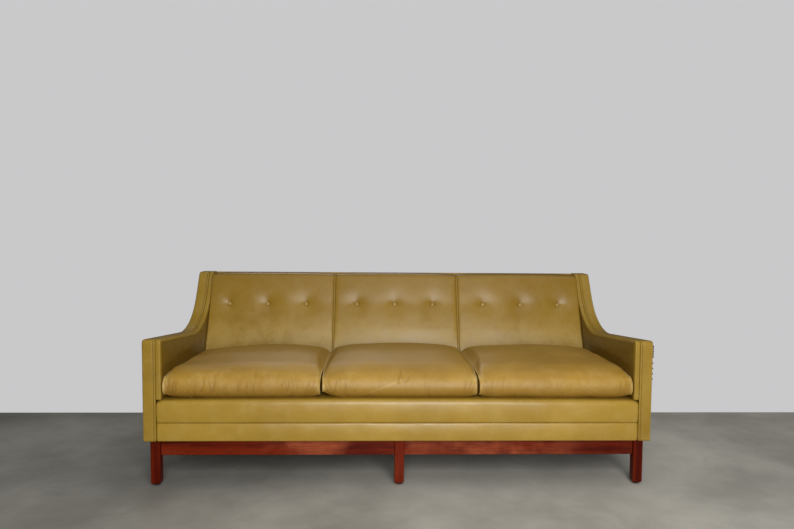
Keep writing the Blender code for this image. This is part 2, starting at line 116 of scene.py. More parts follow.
def new_material(name):
    """A material, its node tree, its Principled shader and its Object coordinates."""
    made = bpy.data.materials.new(name)
    made.use_nodes = True
    tree = made.node_tree
    shader = tree.nodes["Principled BSDF"]
    return made, tree, shader, add(tree, "ShaderNodeTexCoord").outputs["Object"]


FLOOR_REAR = 0.582  # Y of its end behind the sofa
FLOOR_REACH = 7.0
FLOOR_SHADED_TO = 2.2  # painted light: the floor is painted lighter from this far left to this far right
cement, tree, shader, place = new_material("cement")
clouds = noise(tree, place, 1.3, 5.0, 0.6)
stains = noise(tree, place, 5.0, 4.0, 0.6, 0.6)
tone = mixed(tree, spread(tree, clouds, 0.3, 0.7), (0.228, 0.220, 0.195, 1), (0.385, 0.373, 0.334, 1))
tone = mixed(tree, spread(tree, stains, 0.5, 0.75, 0.0, 0.25), tone, (0.19, 0.185, 0.17, 1))
# Painted light: the floor's colour is darkened on the left and lightened on the right.
across = add(tree, "ShaderNodeSeparateXYZ", {0: place}).outputs["X"]
painted_light_across = spread(tree, across, -FLOOR_SHADED_TO, FLOOR_SHADED_TO, 0.80, 1.45)
tone = mixed(tree, 1.0, tone, painted_light_across, "MULTIPLY")
tree.links.new(tone, shader.inputs["Base Color"])
tree.links.new(spread(tree, stains, 0.3, 0.7, 0.5, 0.7), shader.inputs["Roughness"])
shader.inputs["Specular IOR Level"].default_value = 0.25

floor_mesh = bpy.data.meshes.new("floor")
corners = [(-FLOOR_REACH, -FLOOR_REACH, 0), (FLOOR_REACH, -FLOOR_REACH, 0),
           (FLOOR_REACH, FLOOR_REAR, 0), (-FLOOR_REACH, FLOOR_REAR, 0)]
floor_mesh.from_pydata(corners, [], [(0, 1, 2, 3)])
floor_mesh.materials.append(cement)
floor = bpy.data.objects.new("floor", floor_mesh)
bpy.context.scene.collection.objects.link(floor)

world = bpy.data.worlds.new("surround")
world.use_nodes = True
bpy.context.scene.world = world
world_tree = world.node_tree
shown = add(world_tree, "ShaderNodeBackground", {"Color": (0.585, 0.58, 0.59, 1), "Strength": 1.0})
lighting = add(world_tree, "ShaderNodeBackground", {"Color": (0.93, 0.96, 1.0, 1), "Strength": 0.075})
seen = add(world_tree, "ShaderNodeLightPath").outputs["Is Camera Ray"]
surround = add(world_tree, "ShaderNodeMixShader", {0: seen, 1: lighting.outputs[0], 2: shown.outputs[0]})
world_tree.links.new(surround.outputs[0], world_tree.nodes["World Output"].inputs["Surface"])


LIGHT_COLOUR = (1.0, 0.985, 0.96)


def soft_light(name, place, target, size, power):
    """A broad rectangular light at a place, facing a target. size is (across, up)."""
    lamp = bpy.data.lights.new(name, "AREA")
    lamp.shape = "RECTANGLE"
    lamp.size, lamp.size_y = size
    lamp.energy = power
    lamp.color = LIGHT_COLOUR
    holder = bpy.data.objects.new(name, lamp)
    facing = (Vector(target) - Vector(place)).to_track_quat("-Z", "Y").to_matrix().to_4x4()
    holder.matrix_world = Matrix.Translation(place) @ facing
    holder.visible_camera = False
    bpy.context.scene.collection.objects.link(holder)


soft_light("window", (0.30, -3.4, 1.36), (0.05, 0.0, 0.45), (1.8, 2.4), 122.0)
soft_light("overhead", (0.3, -0.7, 3.2), (0.0, -0.2, 0.3), (3.6, 3.0), 36.0)
soft_light("rear_fill", (-0.6, 3.6, 3.5), (0.0, 0.0, 0.4), (2.6, 1.6), 32.0)
bpy.context.scene.view_settings.view_transform = "Standard"


# ---- Wooden base ----
# Mahogany legs, aprons and a stretcher, planed square, oiled, and rubbed round at their edges.
# The aprons are dowelled between the corner legs, and the middle legs straddle them.
def new_group(name, ins, outs):
    """A shader node group with named inputs (name, kind, value) and outputs (name, kind)."""
    group = bpy.data.node_groups.new(name, "ShaderNodeTree")
    for label, kind, value in ins:
        socket = group.interface.new_socket(name=label, in_out="INPUT", socket_type=kind)
        if value is not None:
            socket.default_value = value
    for label, kind in outs:
        group.interface.new_socket(name=label, in_out="OUTPUT", socket_type=kind)
    return group, group.nodes.new("NodeGroupInput").outputs, group.nodes.new("NodeGroupOutput").inputs


FLOAT, COLOUR, VECTOR = "NodeSocketFloat", "NodeSocketColor", "NodeSocketVector"

wood_grain, ins, outs = new_group(
    "wood grain",
    [("Vector", VECTOR, None), ("Stretched", VECTOR, None), ("Pale", COLOUR, (0.3, 0.1, 0.04, 1)),
     ("Dark", COLOUR, (0.1, 0.02, 0.01, 1)), ("Blotched", COLOUR, (0.3, 0.1, 0.07, 1)),
     ("Blotching", FLOAT, 0.5)],
    [("Color", COLOUR), ("Roughness", FLOAT), ("Height", FLOAT)],
)
broad = noise(wood_grain, ins["Stretched"], 1.0, 4.0, 0.6, 0.4)
fine = noise(wood_grain, ins["Stretched"], 7.0, 3.0, 0.6)
pores = spread(wood_grain, noise(wood_grain, ins["Stretched"], 22.0, 1.0, 0.5), 0.56, 0.68)
patches = spread(wood_grain, noise(wood_grain, ins["Vector"], 4.2, 3.0, 0.6), 0.42, 0.66)
figure = mixed(wood_grain, spread(wood_grain, broad, 0.34, 0.66), ins["Dark"], ins["Pale"])
across = add(wood_grain, "ShaderNodeSeparateXYZ", {0: ins["Vector"]}).outputs["X"]
from_middle = calc(wood_grain, "ABSOLUTE", across)
# Paler patches come at random and are strongest near the middle of the sofa's width.
patches = calc(wood_grain, "MULTIPLY", patches, spread(wood_grain, from_middle, 0.42, 0.85, 1.0, 0.15))
figure = mixed(wood_grain, calc(wood_grain, "MULTIPLY", patches, ins["Blotching"]), figure, ins["Blotched"])
figure = mixed(wood_grain, spread(wood_grain, fine, 0.45, 0.7, 0.0, 0.45), figure, ins["Dark"])
figure = mixed(wood_grain, calc(wood_grain, "MULTIPLY", pores, 0.5), figure, ins["Dark"])
wood_grain.links.new(figure, outs["Color"])
wood_grain.links.new(spread(wood_grain, broad, 0.2, 0.8, 0.30, 0.48), outs["Roughness"])
wood_grain.links.new(calc(wood_grain, "SUBTRACT", fine, pores), outs["Height"])

GRAIN_ALONG = {"x": (1.6, 26.0, 26.0), "y": (26.0, 1.6, 26.0), "z": (26.0, 26.0, 1.6)}


def wood(name, grain, pale, dark, blotched, blotching, sheen):
    """Wood whose grain runs along one axis of the sofa."""
    made, tree, shader, place = new_material(f"{name} along {grain}")
    stretched = add(tree, "ShaderNodeMapping", {"Vector": place, "Scale": GRAIN_ALONG[grain]})
    values = {"Vector": place, "Stretched": stretched.outputs[0], "Pale": pale, "Dark": dark,
              "Blotched": blotched, "Blotching": blotching}
    look = add(tree, "ShaderNodeGroup", node_tree=wood_grain)
    for label, value in values.items():
        if isinstance(value, bpy.types.NodeSocket):
            tree.links.new(value, look.inputs[label])
        else:
            look.inputs[label].default_value = value
    tree.links.new(look.outputs["Color"], shader.inputs["Base Color"])
    tree.links.new(look.outputs["Roughness"], shader.inputs["Roughness"])
    bump = add(tree, "ShaderNodeBump", {"Height": look.outputs["Height"], "Strength": 0.25,
                                        "Distance": 0.0006})
    tree.links.new(bump.outputs[0], shader.inputs["Normal"])
    shader.inputs["Specular IOR Level"].default_value = sheen
    return made


mahogany = {
    grain: wood("mahogany", grain, (0.150, 0.013, 0.0012, 1), (0.052, 0.003, 0.0006, 1),
                (0.27, 0.058, 0.022, 1), blotching, 0.10)
    for grain, blotching in (("x", 1.0), ("y", 0.4), ("z", 0.10))
}


SAME_POINT = 0.00005
FLAT_WITHIN, SHARP_FROM = math.radians(1.0), math.radians(20.0)
WOOD_ROUNDING = 0.0008
FOOT_SOLE, FOOT_TOP = 0.012, 0.027  # heights that part the sole, the taper and the plain leg
FOOT_DRAWN_OUT, FOOT_DRAWN_DOWN = 1.20, 0.0075


def planed(node, material):
    """A copy of a flat-sided node with its flats joined up and its edges rubbed round."""
    bm = bmesh.new()
    bm.from_mesh(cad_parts[node].data)
    bmesh.ops.remove_doubles(bm, verts=bm.verts, dist=SAME_POINT)
    bmesh.ops.dissolve_limit(bm, angle_limit=FLAT_WITHIN, verts=bm.verts, edges=bm.edges)
    edges = [edge for edge in bm.edges if edge.calc_face_angle(0.0) > SHARP_FROM]
    bmesh.ops.bevel(bm, geom=edges, offset=WOOD_ROUNDING, segments=2, affect="EDGES", clamp_overlap=True)
    bmesh.ops.recalc_face_normals(bm, faces=bm.faces)
    mesh = bpy.data.meshes.new(f"finished_{node}")
    bm.to_mesh(mesh)
    bm.free()
    mesh.materials.append(material)
    mesh.shade_flat()
    piece = bpy.data.objects.new(f"finished_{node}", mesh)
    bpy.context.scene.collection.objects.link(piece)
    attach(piece, "root")
    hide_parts(node)
    return piece


def squarer_foot(piece):
    """Draws a leg's tapered foot out and down, so that only its last few millimetres taper."""
    spots = [vertex.co for vertex in piece.data.vertices]
    ranges = [sorted(spot[axis] for spot in spots) for axis in (0, 1)]
    middle = [(along[0] + along[-1]) / 2 for along in ranges]
    for spot in spots:
        if spot.z < FOOT_SOLE:
            spot.x = middle[0] + (spot.x - middle[0]) * FOOT_DRAWN_OUT
            spot.y = middle[1] + (spot.y - middle[1]) * FOOT_DRAWN_OUT
        elif spot.z < FOOT_TOP:
            spot.z -= FOOT_DRAWN_DOWN


ROWS, COLUMNS = ("front", "rear"), ("left", "middle", "right")
for row in ROWS:
    planed(f"{row}_apron", mahogany["x"])
    for column in COLUMNS:
        squarer_foot(planed(f"{row}_{column}_leg", mahogany["z"]))
for node in ("left_side_apron", "right_side_apron", "base_stretcher"):
    planed(node, mahogany["y"])


# ---- Glides ----
# A domed steel nail-on glide under each leg, dulled and scratched from standing on hard floors.
def cells_of(index):
    """Quads between the points whose numbers stand in a grid."""
    corners = (index[:-1, :-1], index[:-1, 1:], index[1:, 1:], index[1:, :-1])
    return np.stack(corners, axis=-1).reshape(-1, 4)


def grid_faces(rows, columns):
    """Quads between the points of a grid whose points are numbered row by row."""
    return cells_of(np.arange(rows * columns).reshape(rows, columns))


def turned_outwards(points, faces):
    """The faces, all turned round if the body they close has a negative volume."""
    first = points[[face[0] for face in faces]]
    volume = 0.0
    for step in (1, 2):
        second = points[[face[step] for face in faces]]
        third = points[[face[min(step + 1, len(face) - 1)] for face in faces]]
        volume += np.einsum("ij,ij->i", first, np.cross(second, third)).sum()
    return faces if volume > 0 else [face[::-1] for face in faces]


def closed_piece(name, points, faces, material, slot, body="root", nodes=(), wear_and_highlight=None, dirt_and_shade=None):
    """A smooth closed mesh that rides on a body and stands for some nodes.

    wear_and_highlight and dirt_and_shade are masks from 0 to 1, one number for each point, which the finish
    reads: the first marks wear and painted highlights, the second dirt and painted shade.
    """
    points = np.asarray(points, dtype=float)
    mesh = bpy.data.meshes.new(name)
    mesh.from_pydata(points, [], turned_outwards(points, [tuple(face) for face in faces]))
    mesh.materials.append(material)
    mesh.shade_smooth()
    for label, mask in (("wear_and_highlight", wear_and_highlight), ("dirt_and_shade", dirt_and_shade)):
        if mask is not None:
            values = mesh.attributes.new(label, "FLOAT", "POINT").data
            values.foreach_set("value", np.clip(np.ravel(mask), 0.0, 1.0).astype(np.float32))
    piece = bpy.data.objects.new(name, mesh)
    bpy.context.scene.collection.objects.link(piece)
    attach(piece, body)
    if nodes:
        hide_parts(*nodes)
    return piece


def tube(rings):
    """Points and faces of a closed body through rings of points, (ring, place on it, xyz)."""
    count, around = rings.shape[:2]
    closed = np.concatenate([rings, rings[:, :1]], axis=1)
    quads = grid_faces(count, around + 1)
    column = quads % (around + 1) % around
    quads = quads // (around + 1) * around + column
    middles = np.stack([rings[0].mean(axis=0), rings[-1].mean(axis=0)])
    points = np.concatenate([closed[:, :-1].reshape(-1, 3), middles])
    step = np.arange(around)
    after = np.roll(step, -1)
    last = (count - 1) * around
    start_cap = np.stack([after, step, np.full(around, count * around)], axis=-1)
    end_cap = np.stack([step + last, after + last, np.full(around, count * around + 1)], axis=-1)
    return points, quads.tolist() + start_cap.tolist() + end_cap.tolist()


dull_steel, tree, shader, place = new_material("dull steel")
scratches = noise(tree, place, 900.0, 3.0, 0.6)
tree.links.new(mixed(tree, scratches, (0.02, 0.018, 0.016, 1), (0.09, 0.085, 0.08, 1)),
               shader.inputs["Base Color"])
tree.links.new(spread(tree, scratches, 0.3, 0.7, 0.35, 0.6), shader.inputs["Roughness"])
shader.inputs["Metallic"].default_value = 0.6

GLIDE_OUTLINE = [(0.05, 0.0), (0.45, 0.0), (0.70, 0.10), (0.86, 0.28), (0.96, 0.55), (1.0, 0.85),
                 (0.97, 1.0), (0.05, 1.0)]  # shares of radius and height
turn = np.linspace(0.0, 2 * math.pi, 28, endpoint=False)
circle = np.stack([np.cos(turn), np.sin(turn)], axis=-1)
for row in ROWS:
    for column in COLUMNS:
        low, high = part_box(f"{row}_{column}_glide")
        middle, half = (low + high) / 2, (high.x - low.x) / 2
        rings = np.empty((len(GLIDE_OUTLINE), len(turn), 3))
        for ring, (radius, height) in zip(rings, GLIDE_OUTLINE):
            ring[:, :2] = (middle.x, middle.y) + circle * radius * half
            ring[:, 2] = low.z + height * (high.z - low.z)
        closed_piece(f"{row}_{column}_foot_glide", *tube(rings), dull_steel, "glide_metal",
                     nodes=[f"{row}_{column}_glide"])


# ---- Hardwood frame, springs and burlap ----
# Sawn beech rails, posts and boards, screwed and glued, with zigzag springs clipped between the
# front and rear rails and burlap tacked over the back. The covers hide all of it.
sawn = {
    grain: wood("sawn beech", grain, (0.50, 0.35, 0.20, 1), (0.36, 0.23, 0.12, 1),
                (0.55, 0.42, 0.27, 1), 0.4, 0.2)
    for grain in "xyz"
}
spring_wire, tree, shader, place = new_material("spring wire")
tree.links.new(mixed(tree, noise(tree, place, 60.0), (0.12, 0.11, 0.10, 1), (0.34, 0.34, 0.35, 1)),
               shader.inputs["Base Color"])
tree.links.new(noise(tree, place, 300.0), shader.inputs["Roughness"])
shader.inputs["Metallic"].default_value = 0.9
burlap, tree, shader, place = new_material("burlap")
threads = [add(tree, "ShaderNodeTexWave", {"Vector": place, "Scale": 160.0, "Distortion": 1.2,
                                           "Detail Scale": 3.0}, bands_direction=way).outputs["Fac"]
           for way in ("X", "Z")]
weave = calc(tree, "MULTIPLY", threads[0], threads[1])
tree.links.new(mixed(tree, weave, (0.16, 0.10, 0.05, 1), (0.45, 0.33, 0.19, 1)),
               shader.inputs["Base Color"])
shader.inputs["Roughness"].default_value = 0.95

for node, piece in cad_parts.items():
    if node.endswith("_rail") and "side" not in node and "cross" not in node:
        material = sawn["x"]
    elif node.endswith("_rail") or node.endswith("_board"):
        material = sawn["y"]
    elif node.endswith("_post"):
        material = sawn["z"]
    elif node.endswith("_springs"):
        material = spring_wire
    elif node == "back_hessian":
        material = burlap
    else:
        continue
    for socket in piece.material_slots:
        socket.material = material


# ---- Arm edges ----
# The hide along each arm's front, top and wing: a broad outer strip, a narrow raised strip between
# two rows of stitching, and an inner strip, all pulled over felt and carried round the scoop.
hide_finish, ins, outs = new_group(
    "hide finish",
    [("Vector", VECTOR, None), ("Clean", COLOUR, (0.3, 0.2, 0.05, 1)),
     ("Worn_And_Highlit", COLOUR, (0.5, 0.4, 0.2, 1)), ("Soiled_And_Shaded", COLOUR, (0.15, 0.09, 0.02, 1)),
     ("Mottling", FLOAT, 0.5), ("Wear_And_Highlight", FLOAT, 0.0), ("Dirt_And_Shade", FLOAT, 0.0), ("Gloss", FLOAT, 0.4)],
    [("Color", COLOUR), ("Roughness", FLOAT), ("Height", FLOAT)],
)
broad = noise(hide_finish, ins["Vector"], 3.1, 4.0, 0.6, 0.3)
medium = noise(hide_finish, ins["Vector"], 17.0, 4.0, 0.65)
fine = noise(hide_finish, ins["Vector"], 120.0, 3.0, 0.6)
pebbles = add(hide_finish, "ShaderNodeTexVoronoi", {"Vector": ins["Vector"], "Scale": 520.0},
              feature="SMOOTH_F1").outputs["Distance"]
folds = add(hide_finish, "ShaderNodeTexVoronoi", {"Vector": ins["Vector"], "Scale": 95.0},
            feature="DISTANCE_TO_EDGE").outputs["Distance"]
clouded = calc(hide_finish, "MULTIPLY", spread(hide_finish, broad, 0.40, 0.66), ins["Mottling"])
tone = mixed(hide_finish, clouded, ins["Clean"], ins["Soiled_And_Shaded"])
flecked = calc(hide_finish, "MULTIPLY", spread(hide_finish, medium, 0.44, 0.72), ins["Mottling"])
tone = mixed(hide_finish, calc(hide_finish, "MULTIPLY", flecked, 0.45), tone, ins["Worn_And_Highlit"])
tone = mixed(hide_finish, spread(hide_finish, fine, 0.50, 0.80, 0.0, 0.22), tone, ins["Soiled_And_Shaded"])
tone = mixed(hide_finish, spread(hide_finish, pebbles, 0.35, 0.75, 0.0, 0.18), tone, ins["Soiled_And_Shaded"])
# Wear and painted highlights turn the hide towards its pale colour.
rubbed_and_highlit = calc(hide_finish, "MULTIPLY", ins["Wear_And_Highlight"], spread(hide_finish, medium, 0.30, 0.62, 0.35, 1.0))
tone = mixed(hide_finish, rubbed_and_highlit, tone, ins["Worn_And_Highlit"])
# Dirt and painted shade turn the hide towards its dark colour.
dirtied_and_shaded = calc(hide_finish, "MULTIPLY", ins["Dirt_And_Shade"], spread(hide_finish, fine, 0.25, 0.6, 0.6, 1.0))
tone = mixed(hide_finish, dirtied_and_shaded, tone, ins["Soiled_And_Shaded"])
hide_finish.links.new(tone, outs["Color"])
dulled = spread(hide_finish, medium, 0.3, 0.7, -0.05, 0.07)
hide_finish.links.new(calc(hide_finish, "ADD", ins["Gloss"], dulled), outs["Roughness"])
relief = calc(hide_finish, "MULTIPLY", spread(hide_finish, folds, 0.0, 0.12), 0.6)
relief = calc(hide_finish, "SUBTRACT", relief, calc(hide_finish, "MULTIPLY", pebbles, 0.7))
hide_finish.links.new(calc(hide_finish, "ADD", relief, calc(hide_finish, "MULTIPLY", fine, 0.5)),
                      outs["Height"])


def leather(name, clean, worn_and_highlit, soiled_and_shaded, mottling, gloss, sheen=0.5, grain_depth=0.00022):
    """Leather in one finish. It reads the piece's masks of wear with painted highlights and of dirt with
    painted shade.
    """
    made, tree, shader, place = new_material(name)
    look = add(tree, "ShaderNodeGroup", node_tree=hide_finish)
    masks = {label: add(tree, "ShaderNodeAttribute", attribute_name=label.lower()).outputs["Fac"]
             for label in ("Wear_And_Highlight", "Dirt_And_Shade")}
    values = {"Clean": clean, "Worn_And_Highlit": worn_and_highlit, "Soiled_And_Shaded": soiled_and_shaded, "Mottling": mottling, "Gloss": gloss}
    for label, value in values.items():
        look.inputs[label].default_value = value
    for label, socket in {"Vector": place, **masks}.items():
        tree.links.new(socket, look.inputs[label])
    tree.links.new(look.outputs["Color"], shader.inputs["Base Color"])
    tree.links.new(look.outputs["Roughness"], shader.inputs["Roughness"])
    bump = add(tree, "ShaderNodeBump", {"Height": look.outputs["Height"], "Strength": 0.6,
                                        "Distance": grain_depth})
    tree.links.new(bump.outputs[0], shader.inputs["Normal"])
    shader.inputs["Specular IOR Level"].default_value = sheen
    return made


hide = leather("olive hide", (0.345, 0.215, 0.026, 1), (0.47, 0.34, 0.10, 1), (0.215, 0.120, 0.012, 1),
               0.32, 0.33)
# Its dark colour is also the painted shade on the inner faces of the arms.
arm_hide = leather("olive arm hide", (0.295, 0.182, 0.022, 1), (0.42, 0.30, 0.08, 1),
                   (0.120, 0.064, 0.003, 1), 0.30, 0.36, 0.32)
thread = leather("seam thread", (0.25, 0.155, 0.022, 1), (0.34, 0.24, 0.07, 1), (0.14, 0.08, 0.012, 1),
                 0.5, 0.7, 0.2)


def evenly(points, spacing):
    """The same path with its points a constant distance apart."""
    lengths = np.linalg.norm(np.diff(points, axis=0), axis=1)
    along = np.concatenate([[0.0], np.cumsum(lengths)])
    wanted = np.linspace(0.0, along[-1], max(3, int(round(along[-1] / spacing)) + 1))
    return np.stack([np.interp(wanted, along, points[:, axis]) for axis in range(points.shape[1])], axis=-1)


def rounded_path(corners, radii, spacing):
    """Straight runs joined by arcs: each arc touches both runs at radius * tan(half its turn)."""
    corners = np.asarray(corners, dtype=float)
    parts = [corners[:1]]
    for before, corner, after, radius in zip(corners, corners[1:], corners[2:], radii):
        back = (before - corner) / np.linalg.norm(before - corner)
        on = (after - corner) / np.linalg.norm(after - corner)
        half_turn = (math.pi - math.acos(np.clip(back @ on, -1.0, 1.0))) / 2
        inward = (back + on) / np.linalg.norm(back + on)
        centre = corner + inward * radius / math.cos(half_turn)
        start = corner + back * radius * math.tan(half_turn) - centre
        side = math.copysign(1.0, on[0] * back[1] - on[1] * back[0])
        angles = side * np.linspace(0.0, 2 * half_turn, 9 + int(2 * half_turn * radius / spacing))
        swept = np.stack([start[0] * np.cos(angles) - start[1] * np.sin(angles),
                          start[0] * np.sin(angles) + start[1] * np.cos(angles)], axis=-1)
        parts.append(centre + swept)
    parts.append(corners[-1:])
    return evenly(np.concatenate(parts), spacing)


def inward_of(path):
    """Unit vectors square to a (y, z) path, on the right of its direction of travel."""
    heading = np.gradient(path, axis=0)
    heading /= np.linalg.norm(heading, axis=1, keepdims=True)
    return np.stack([heading[:, 1], -heading[:, 0]], axis=-1)


def carried(path, section, sign=1.0):
    """Rings of a section of (x, depth) points carried along a (y, z) path, depth going inwards."""
    section = np.asarray(section, dtype=float)
    spot = path[:, None, :] + inward_of(path)[:, None, :] * section[None, :, 1:2]
    across = np.broadcast_to(sign * section[None, :, :1], spot.shape[:2] + (1,))
    return np.concatenate([across, spot], axis=-1)


def strip_section(inner, outer, depth, inner_round, outer_round, crown=0.0006):
    """A closed section from x inner to x outer: a slightly crowned top with rounded corners."""
    across = np.linspace(0.0, 1.0, 13)
    x = inner + (outer - inner) * across
    top = -crown * 4 * across * (1 - across)
    for edge, radius in ((x - inner, inner_round), (outer - x, outer_round)):
        inside = np.clip(1.0 - edge / radius, 0.0, 1.0)
        top = top + radius * (1.0 - np.sqrt(1.0 - inside ** 2))
    x = np.clip(x, inner + 1e-5, outer - 1e-5)
    sides = [(outer, max(outer_round, 0.4 * depth)), (outer, depth), (inner, depth),
             (inner, max(inner_round, 0.4 * depth))]
    return np.concatenate([np.stack([x, top], axis=-1), sides])


def denser(section, spacing):
    """A closed section with its points a constant distance apart."""
    return evenly(np.concatenate([section, section[:1]]), spacing)[:-1]


cover_low, cover_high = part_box("left_arm_band")
FRONT, HEIGHT, UNDERSIDE = cover_low.y, cover_high.z, cover_low.z
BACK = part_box("outside_back")[1].y
HALF_WIDTH = -cover_low.x
INNER = -cover_high.x
DECK_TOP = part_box("seat_deck")[1].z
REAR_RAKE = math.radians(12.2)
ARM_HEIGHT = 0.589
ARM_FALL, WING_RAKE = math.radians(6.0), math.radians(29.0)
WING_DEPTH, SCOOP_RADIUS = 0.071, 0.290
EDGE_DEPTH = 0.012
STITCH_FROM_SEAM = 0.0034
OUTER_SEAM, INNER_SEAM = 0.9552, 0.9460  # X of the two rows of stitching


def rear_y(z, inset=0.0):
    """Y of the outside back at height z, or of a layer that lies inset in front of it."""
    return BACK - (HEIGHT - z) * math.tan(REAR_RAKE) - inset


def scoop(start_height):
    """The arm's edge in the side view: up its front, back along its top, round and up the wing."""
    wing = np.array([BACK - WING_DEPTH, HEIGHT])
    gap = wing - (FRONT, ARM_HEIGHT)
    run = (gap[0] / math.tan(WING_RAKE) - gap[1]) / (math.cos(ARM_FALL) / math.tan(WING_RAKE)
                                                     + math.sin(ARM_FALL))
    dip = (FRONT + run * math.cos(ARM_FALL), ARM_HEIGHT - run * math.sin(ARM_FALL))
    corners = [(FRONT, start_height), (FRONT, ARM_HEIGHT), dip, wing, (rear_y(HEIGHT, 0.004), HEIGHT)]
    return rounded_path(corners, (0.013, SCOOP_RADIUS, 0.014), 0.006)


outer_strip = denser(strip_section(OUTER_SEAM, HALF_WIDTH, EDGE_DEPTH, 0.0016, 0.0105), 0.0014)
seam_strip = denser(strip_section(INNER_SEAM + 0.0003, OUTER_SEAM - 0.0003, 0.006, 0.0015, 0.0015), 0.0008)
inner_strip = denser(strip_section(INNER, INNER_SEAM, EDGE_DEPTH, 0.0045, 0.0016, 0.0004), 0.0014)
full_edge, upper_edge = scoop(UNDERSIDE), scoop(DECK_TOP + 0.001)


def edge_masks(rings, section, seam_sides):
    """Wear along the rounded outer corners, and dirt with painted shade in the seams, from a section's own
    points.
    """
    x, depth = section[:, 0], section[:, 1]
    # Painted shade and dirt darken the hide along each seam.
    dirt_and_shade = sum(np.exp(-((x - seam) / 0.0011) ** 2) for seam in seam_sides)
    wear_and_highlight = 0.75 * np.exp(-((np.hypot(x - HALF_WIDTH, depth) - 0.004) / 0.004) ** 2)
    return np.tile(wear_and_highlight, len(rings)), np.tile(dirt_and_shade * 0.85, len(rings))


def stitches(name, route, facing, pitch=0.0058, length=0.0040, radius=0.00042, finish=None):
    """A row of short threads along a route of points: each is a slim spindle of six-sided rings."""
    middles = evenly(route, pitch)[1:-1]
    along = np.gradient(middles, axis=0)
    along /= np.linalg.norm(along, axis=1, keepdims=True)
    spots = np.linspace(0, len(facing) - 1, len(middles)).round().astype(int)
    out = facing[spots]
    side = np.cross(along, out)
    reach = np.array([-0.5, -0.36, 0.0, 0.36, 0.5]) * length
    girth = np.array([0.12, 0.8, 1.0, 0.8, 0.12]) * radius
    angle = np.linspace(0.0, 2 * math.pi, 6, endpoint=False)
    points = (middles[:, None, None, :] + reach[None, :, None, None] * along[:, None, None, :]
              + girth[None, :, None, None] * (np.cos(angle)[None, None, :, None] * side[:, None, None, :]
                                              + np.sin(angle)[None, None, :, None] * out[:, None, None, :]))
    sample, faces = tube(points[0])
    extra = np.stack([points[:, 0].mean(axis=1), points[:, -1].mean(axis=1)], axis=1)
    points = np.concatenate([points.reshape(len(middles), -1, 3), extra], axis=1)
    all_faces = [tuple(corner + i * len(sample) for corner in face)
                 for i in range(len(middles)) for face in faces]
    return closed_piece(name, points.reshape(-1, 3), all_faces, finish or thread, "hide")


for side, sign in (("left", -1.0), ("right", 1.0)):
    strips = (("outer", full_edge, outer_strip, (OUTER_SEAM,), [f"{side}_arm_band"]),
              ("seam", full_edge, seam_strip, (INNER_SEAM, OUTER_SEAM), ()),
              ("inner", upper_edge, inner_strip, (INNER_SEAM,), ()))
    for label, path, section, seams, nodes in strips:
        rings = carried(path, section, sign)
        wear_and_highlight, dirt_and_shade = edge_masks(rings, section, seams)
        points, faces = tube(rings)
        pad = np.zeros(len(points) - len(wear_and_highlight))
        closed_piece(f"{side}_arm_{label}_strip", points, faces, arm_hide, "hide", nodes=nodes,
                     wear_and_highlight=np.concatenate([wear_and_highlight, pad]), dirt_and_shade=np.concatenate([dirt_and_shade, pad]))
    rows = (("outer", full_edge, OUTER_SEAM + STITCH_FROM_SEAM),
            ("inner", upper_edge, INNER_SEAM - STITCH_FROM_SEAM))
    for label, path, x in rows:
        route = carried(path, [(x, -0.0002)], sign)[:, 0]
        facing = np.column_stack([np.zeros(len(path)), -inward_of(path)])
        stitches(f"{side}_arm_{label}_stitches", route, facing)

# The right arm's outer corner has been caught and whipstitched over in a short run of dark thread.
dark_thread = leather("dark thread", (0.055, 0.030, 0.008, 1), (0.12, 0.07, 0.02, 1),
                      (0.03, 0.018, 0.006, 1), 0.5, 0.7, 0.2)
# Each run: lowest and highest Z, pitch, length and radius of its stitches.
WHIPSTITCHES = (("upper", 0.515, 0.576, 0.0105, 0.0085, 0.0026),
                ("lower", 0.415, 0.520, 0.0200, 0.0062, 0.0018))
for label, low, high, pitch, length, radius in WHIPSTITCHES:
    climb = np.linspace(low, high, 60)
    level = np.ones_like(climb)
    route = np.column_stack([level * (HALF_WIDTH - 0.0004), level * (FRONT + 0.006), climb])
    facing = np.tile([0.8, -0.6, 0.0], (len(climb), 1))
    stitches(f"right_arm_{label}_whipstitches", route, facing, pitch, length, radius, dark_thread)


# ---- Arm panels ----
# Flat hide panels over thin felt: one outside each arm, stapled under its edge and to the underside,
# and one inside, which is a little fuller and goes down past the seat.
def shell(front, back):
    """Points and faces of a closed body between two grids of the same size, joined round their rims."""
    rows, columns = front.shape[:2]
    index = np.arange(rows * columns).reshape(rows, columns)
    count = rows * columns
    edge = np.concatenate([index[0, :-1], index[:-1, -1], index[-1, :0:-1], index[:0:-1, 0]])
    after = np.roll(edge, -1)
    faces = grid_faces(rows, columns)
    rim = np.stack([after, edge, edge + count, after + count], axis=-1)
    points = np.concatenate([front.reshape(-1, 3), back.reshape(-1, 3)])
    return points, np.concatenate([faces, faces[:, ::-1] + count, rim])


def panel(name, outer, lining, material, nodes, dirt_and_shade, wear_and_highlight=None):
    """A closed hide panel between an outer grid and its lining, with the same masks on both."""
    both = [None if mask is None else np.stack([mask, mask]) for mask in (wear_and_highlight, dirt_and_shade)]
    return closed_piece(name, *shell(outer, lining), material, "hide", nodes=nodes, wear_and_highlight=both[0],
                        dirt_and_shade=both[1])


def face_y(z):
    """Y of the inside back's face at height z."""
    return BACK_FACE_TOP - (BACK_TOP - z) * math.tan(BACK_RAKE)


def settled(value, low, high):
    """0 below low, 1 above high, and a smooth rise between them."""
    share = np.clip((value - low) / (high - low), 0.0, 1.0)
    return share * share * (3 - 2 * share)


BACK_RAKE = math.radians(20.7)
BACK_BELOW_WINGS, BACK_DEPTH = 0.005, 0.101
BACK_TOP = HEIGHT - BACK_BELOW_WINGS
BACK_FACE_TOP = rear_y(BACK_TOP, BACK_DEPTH)


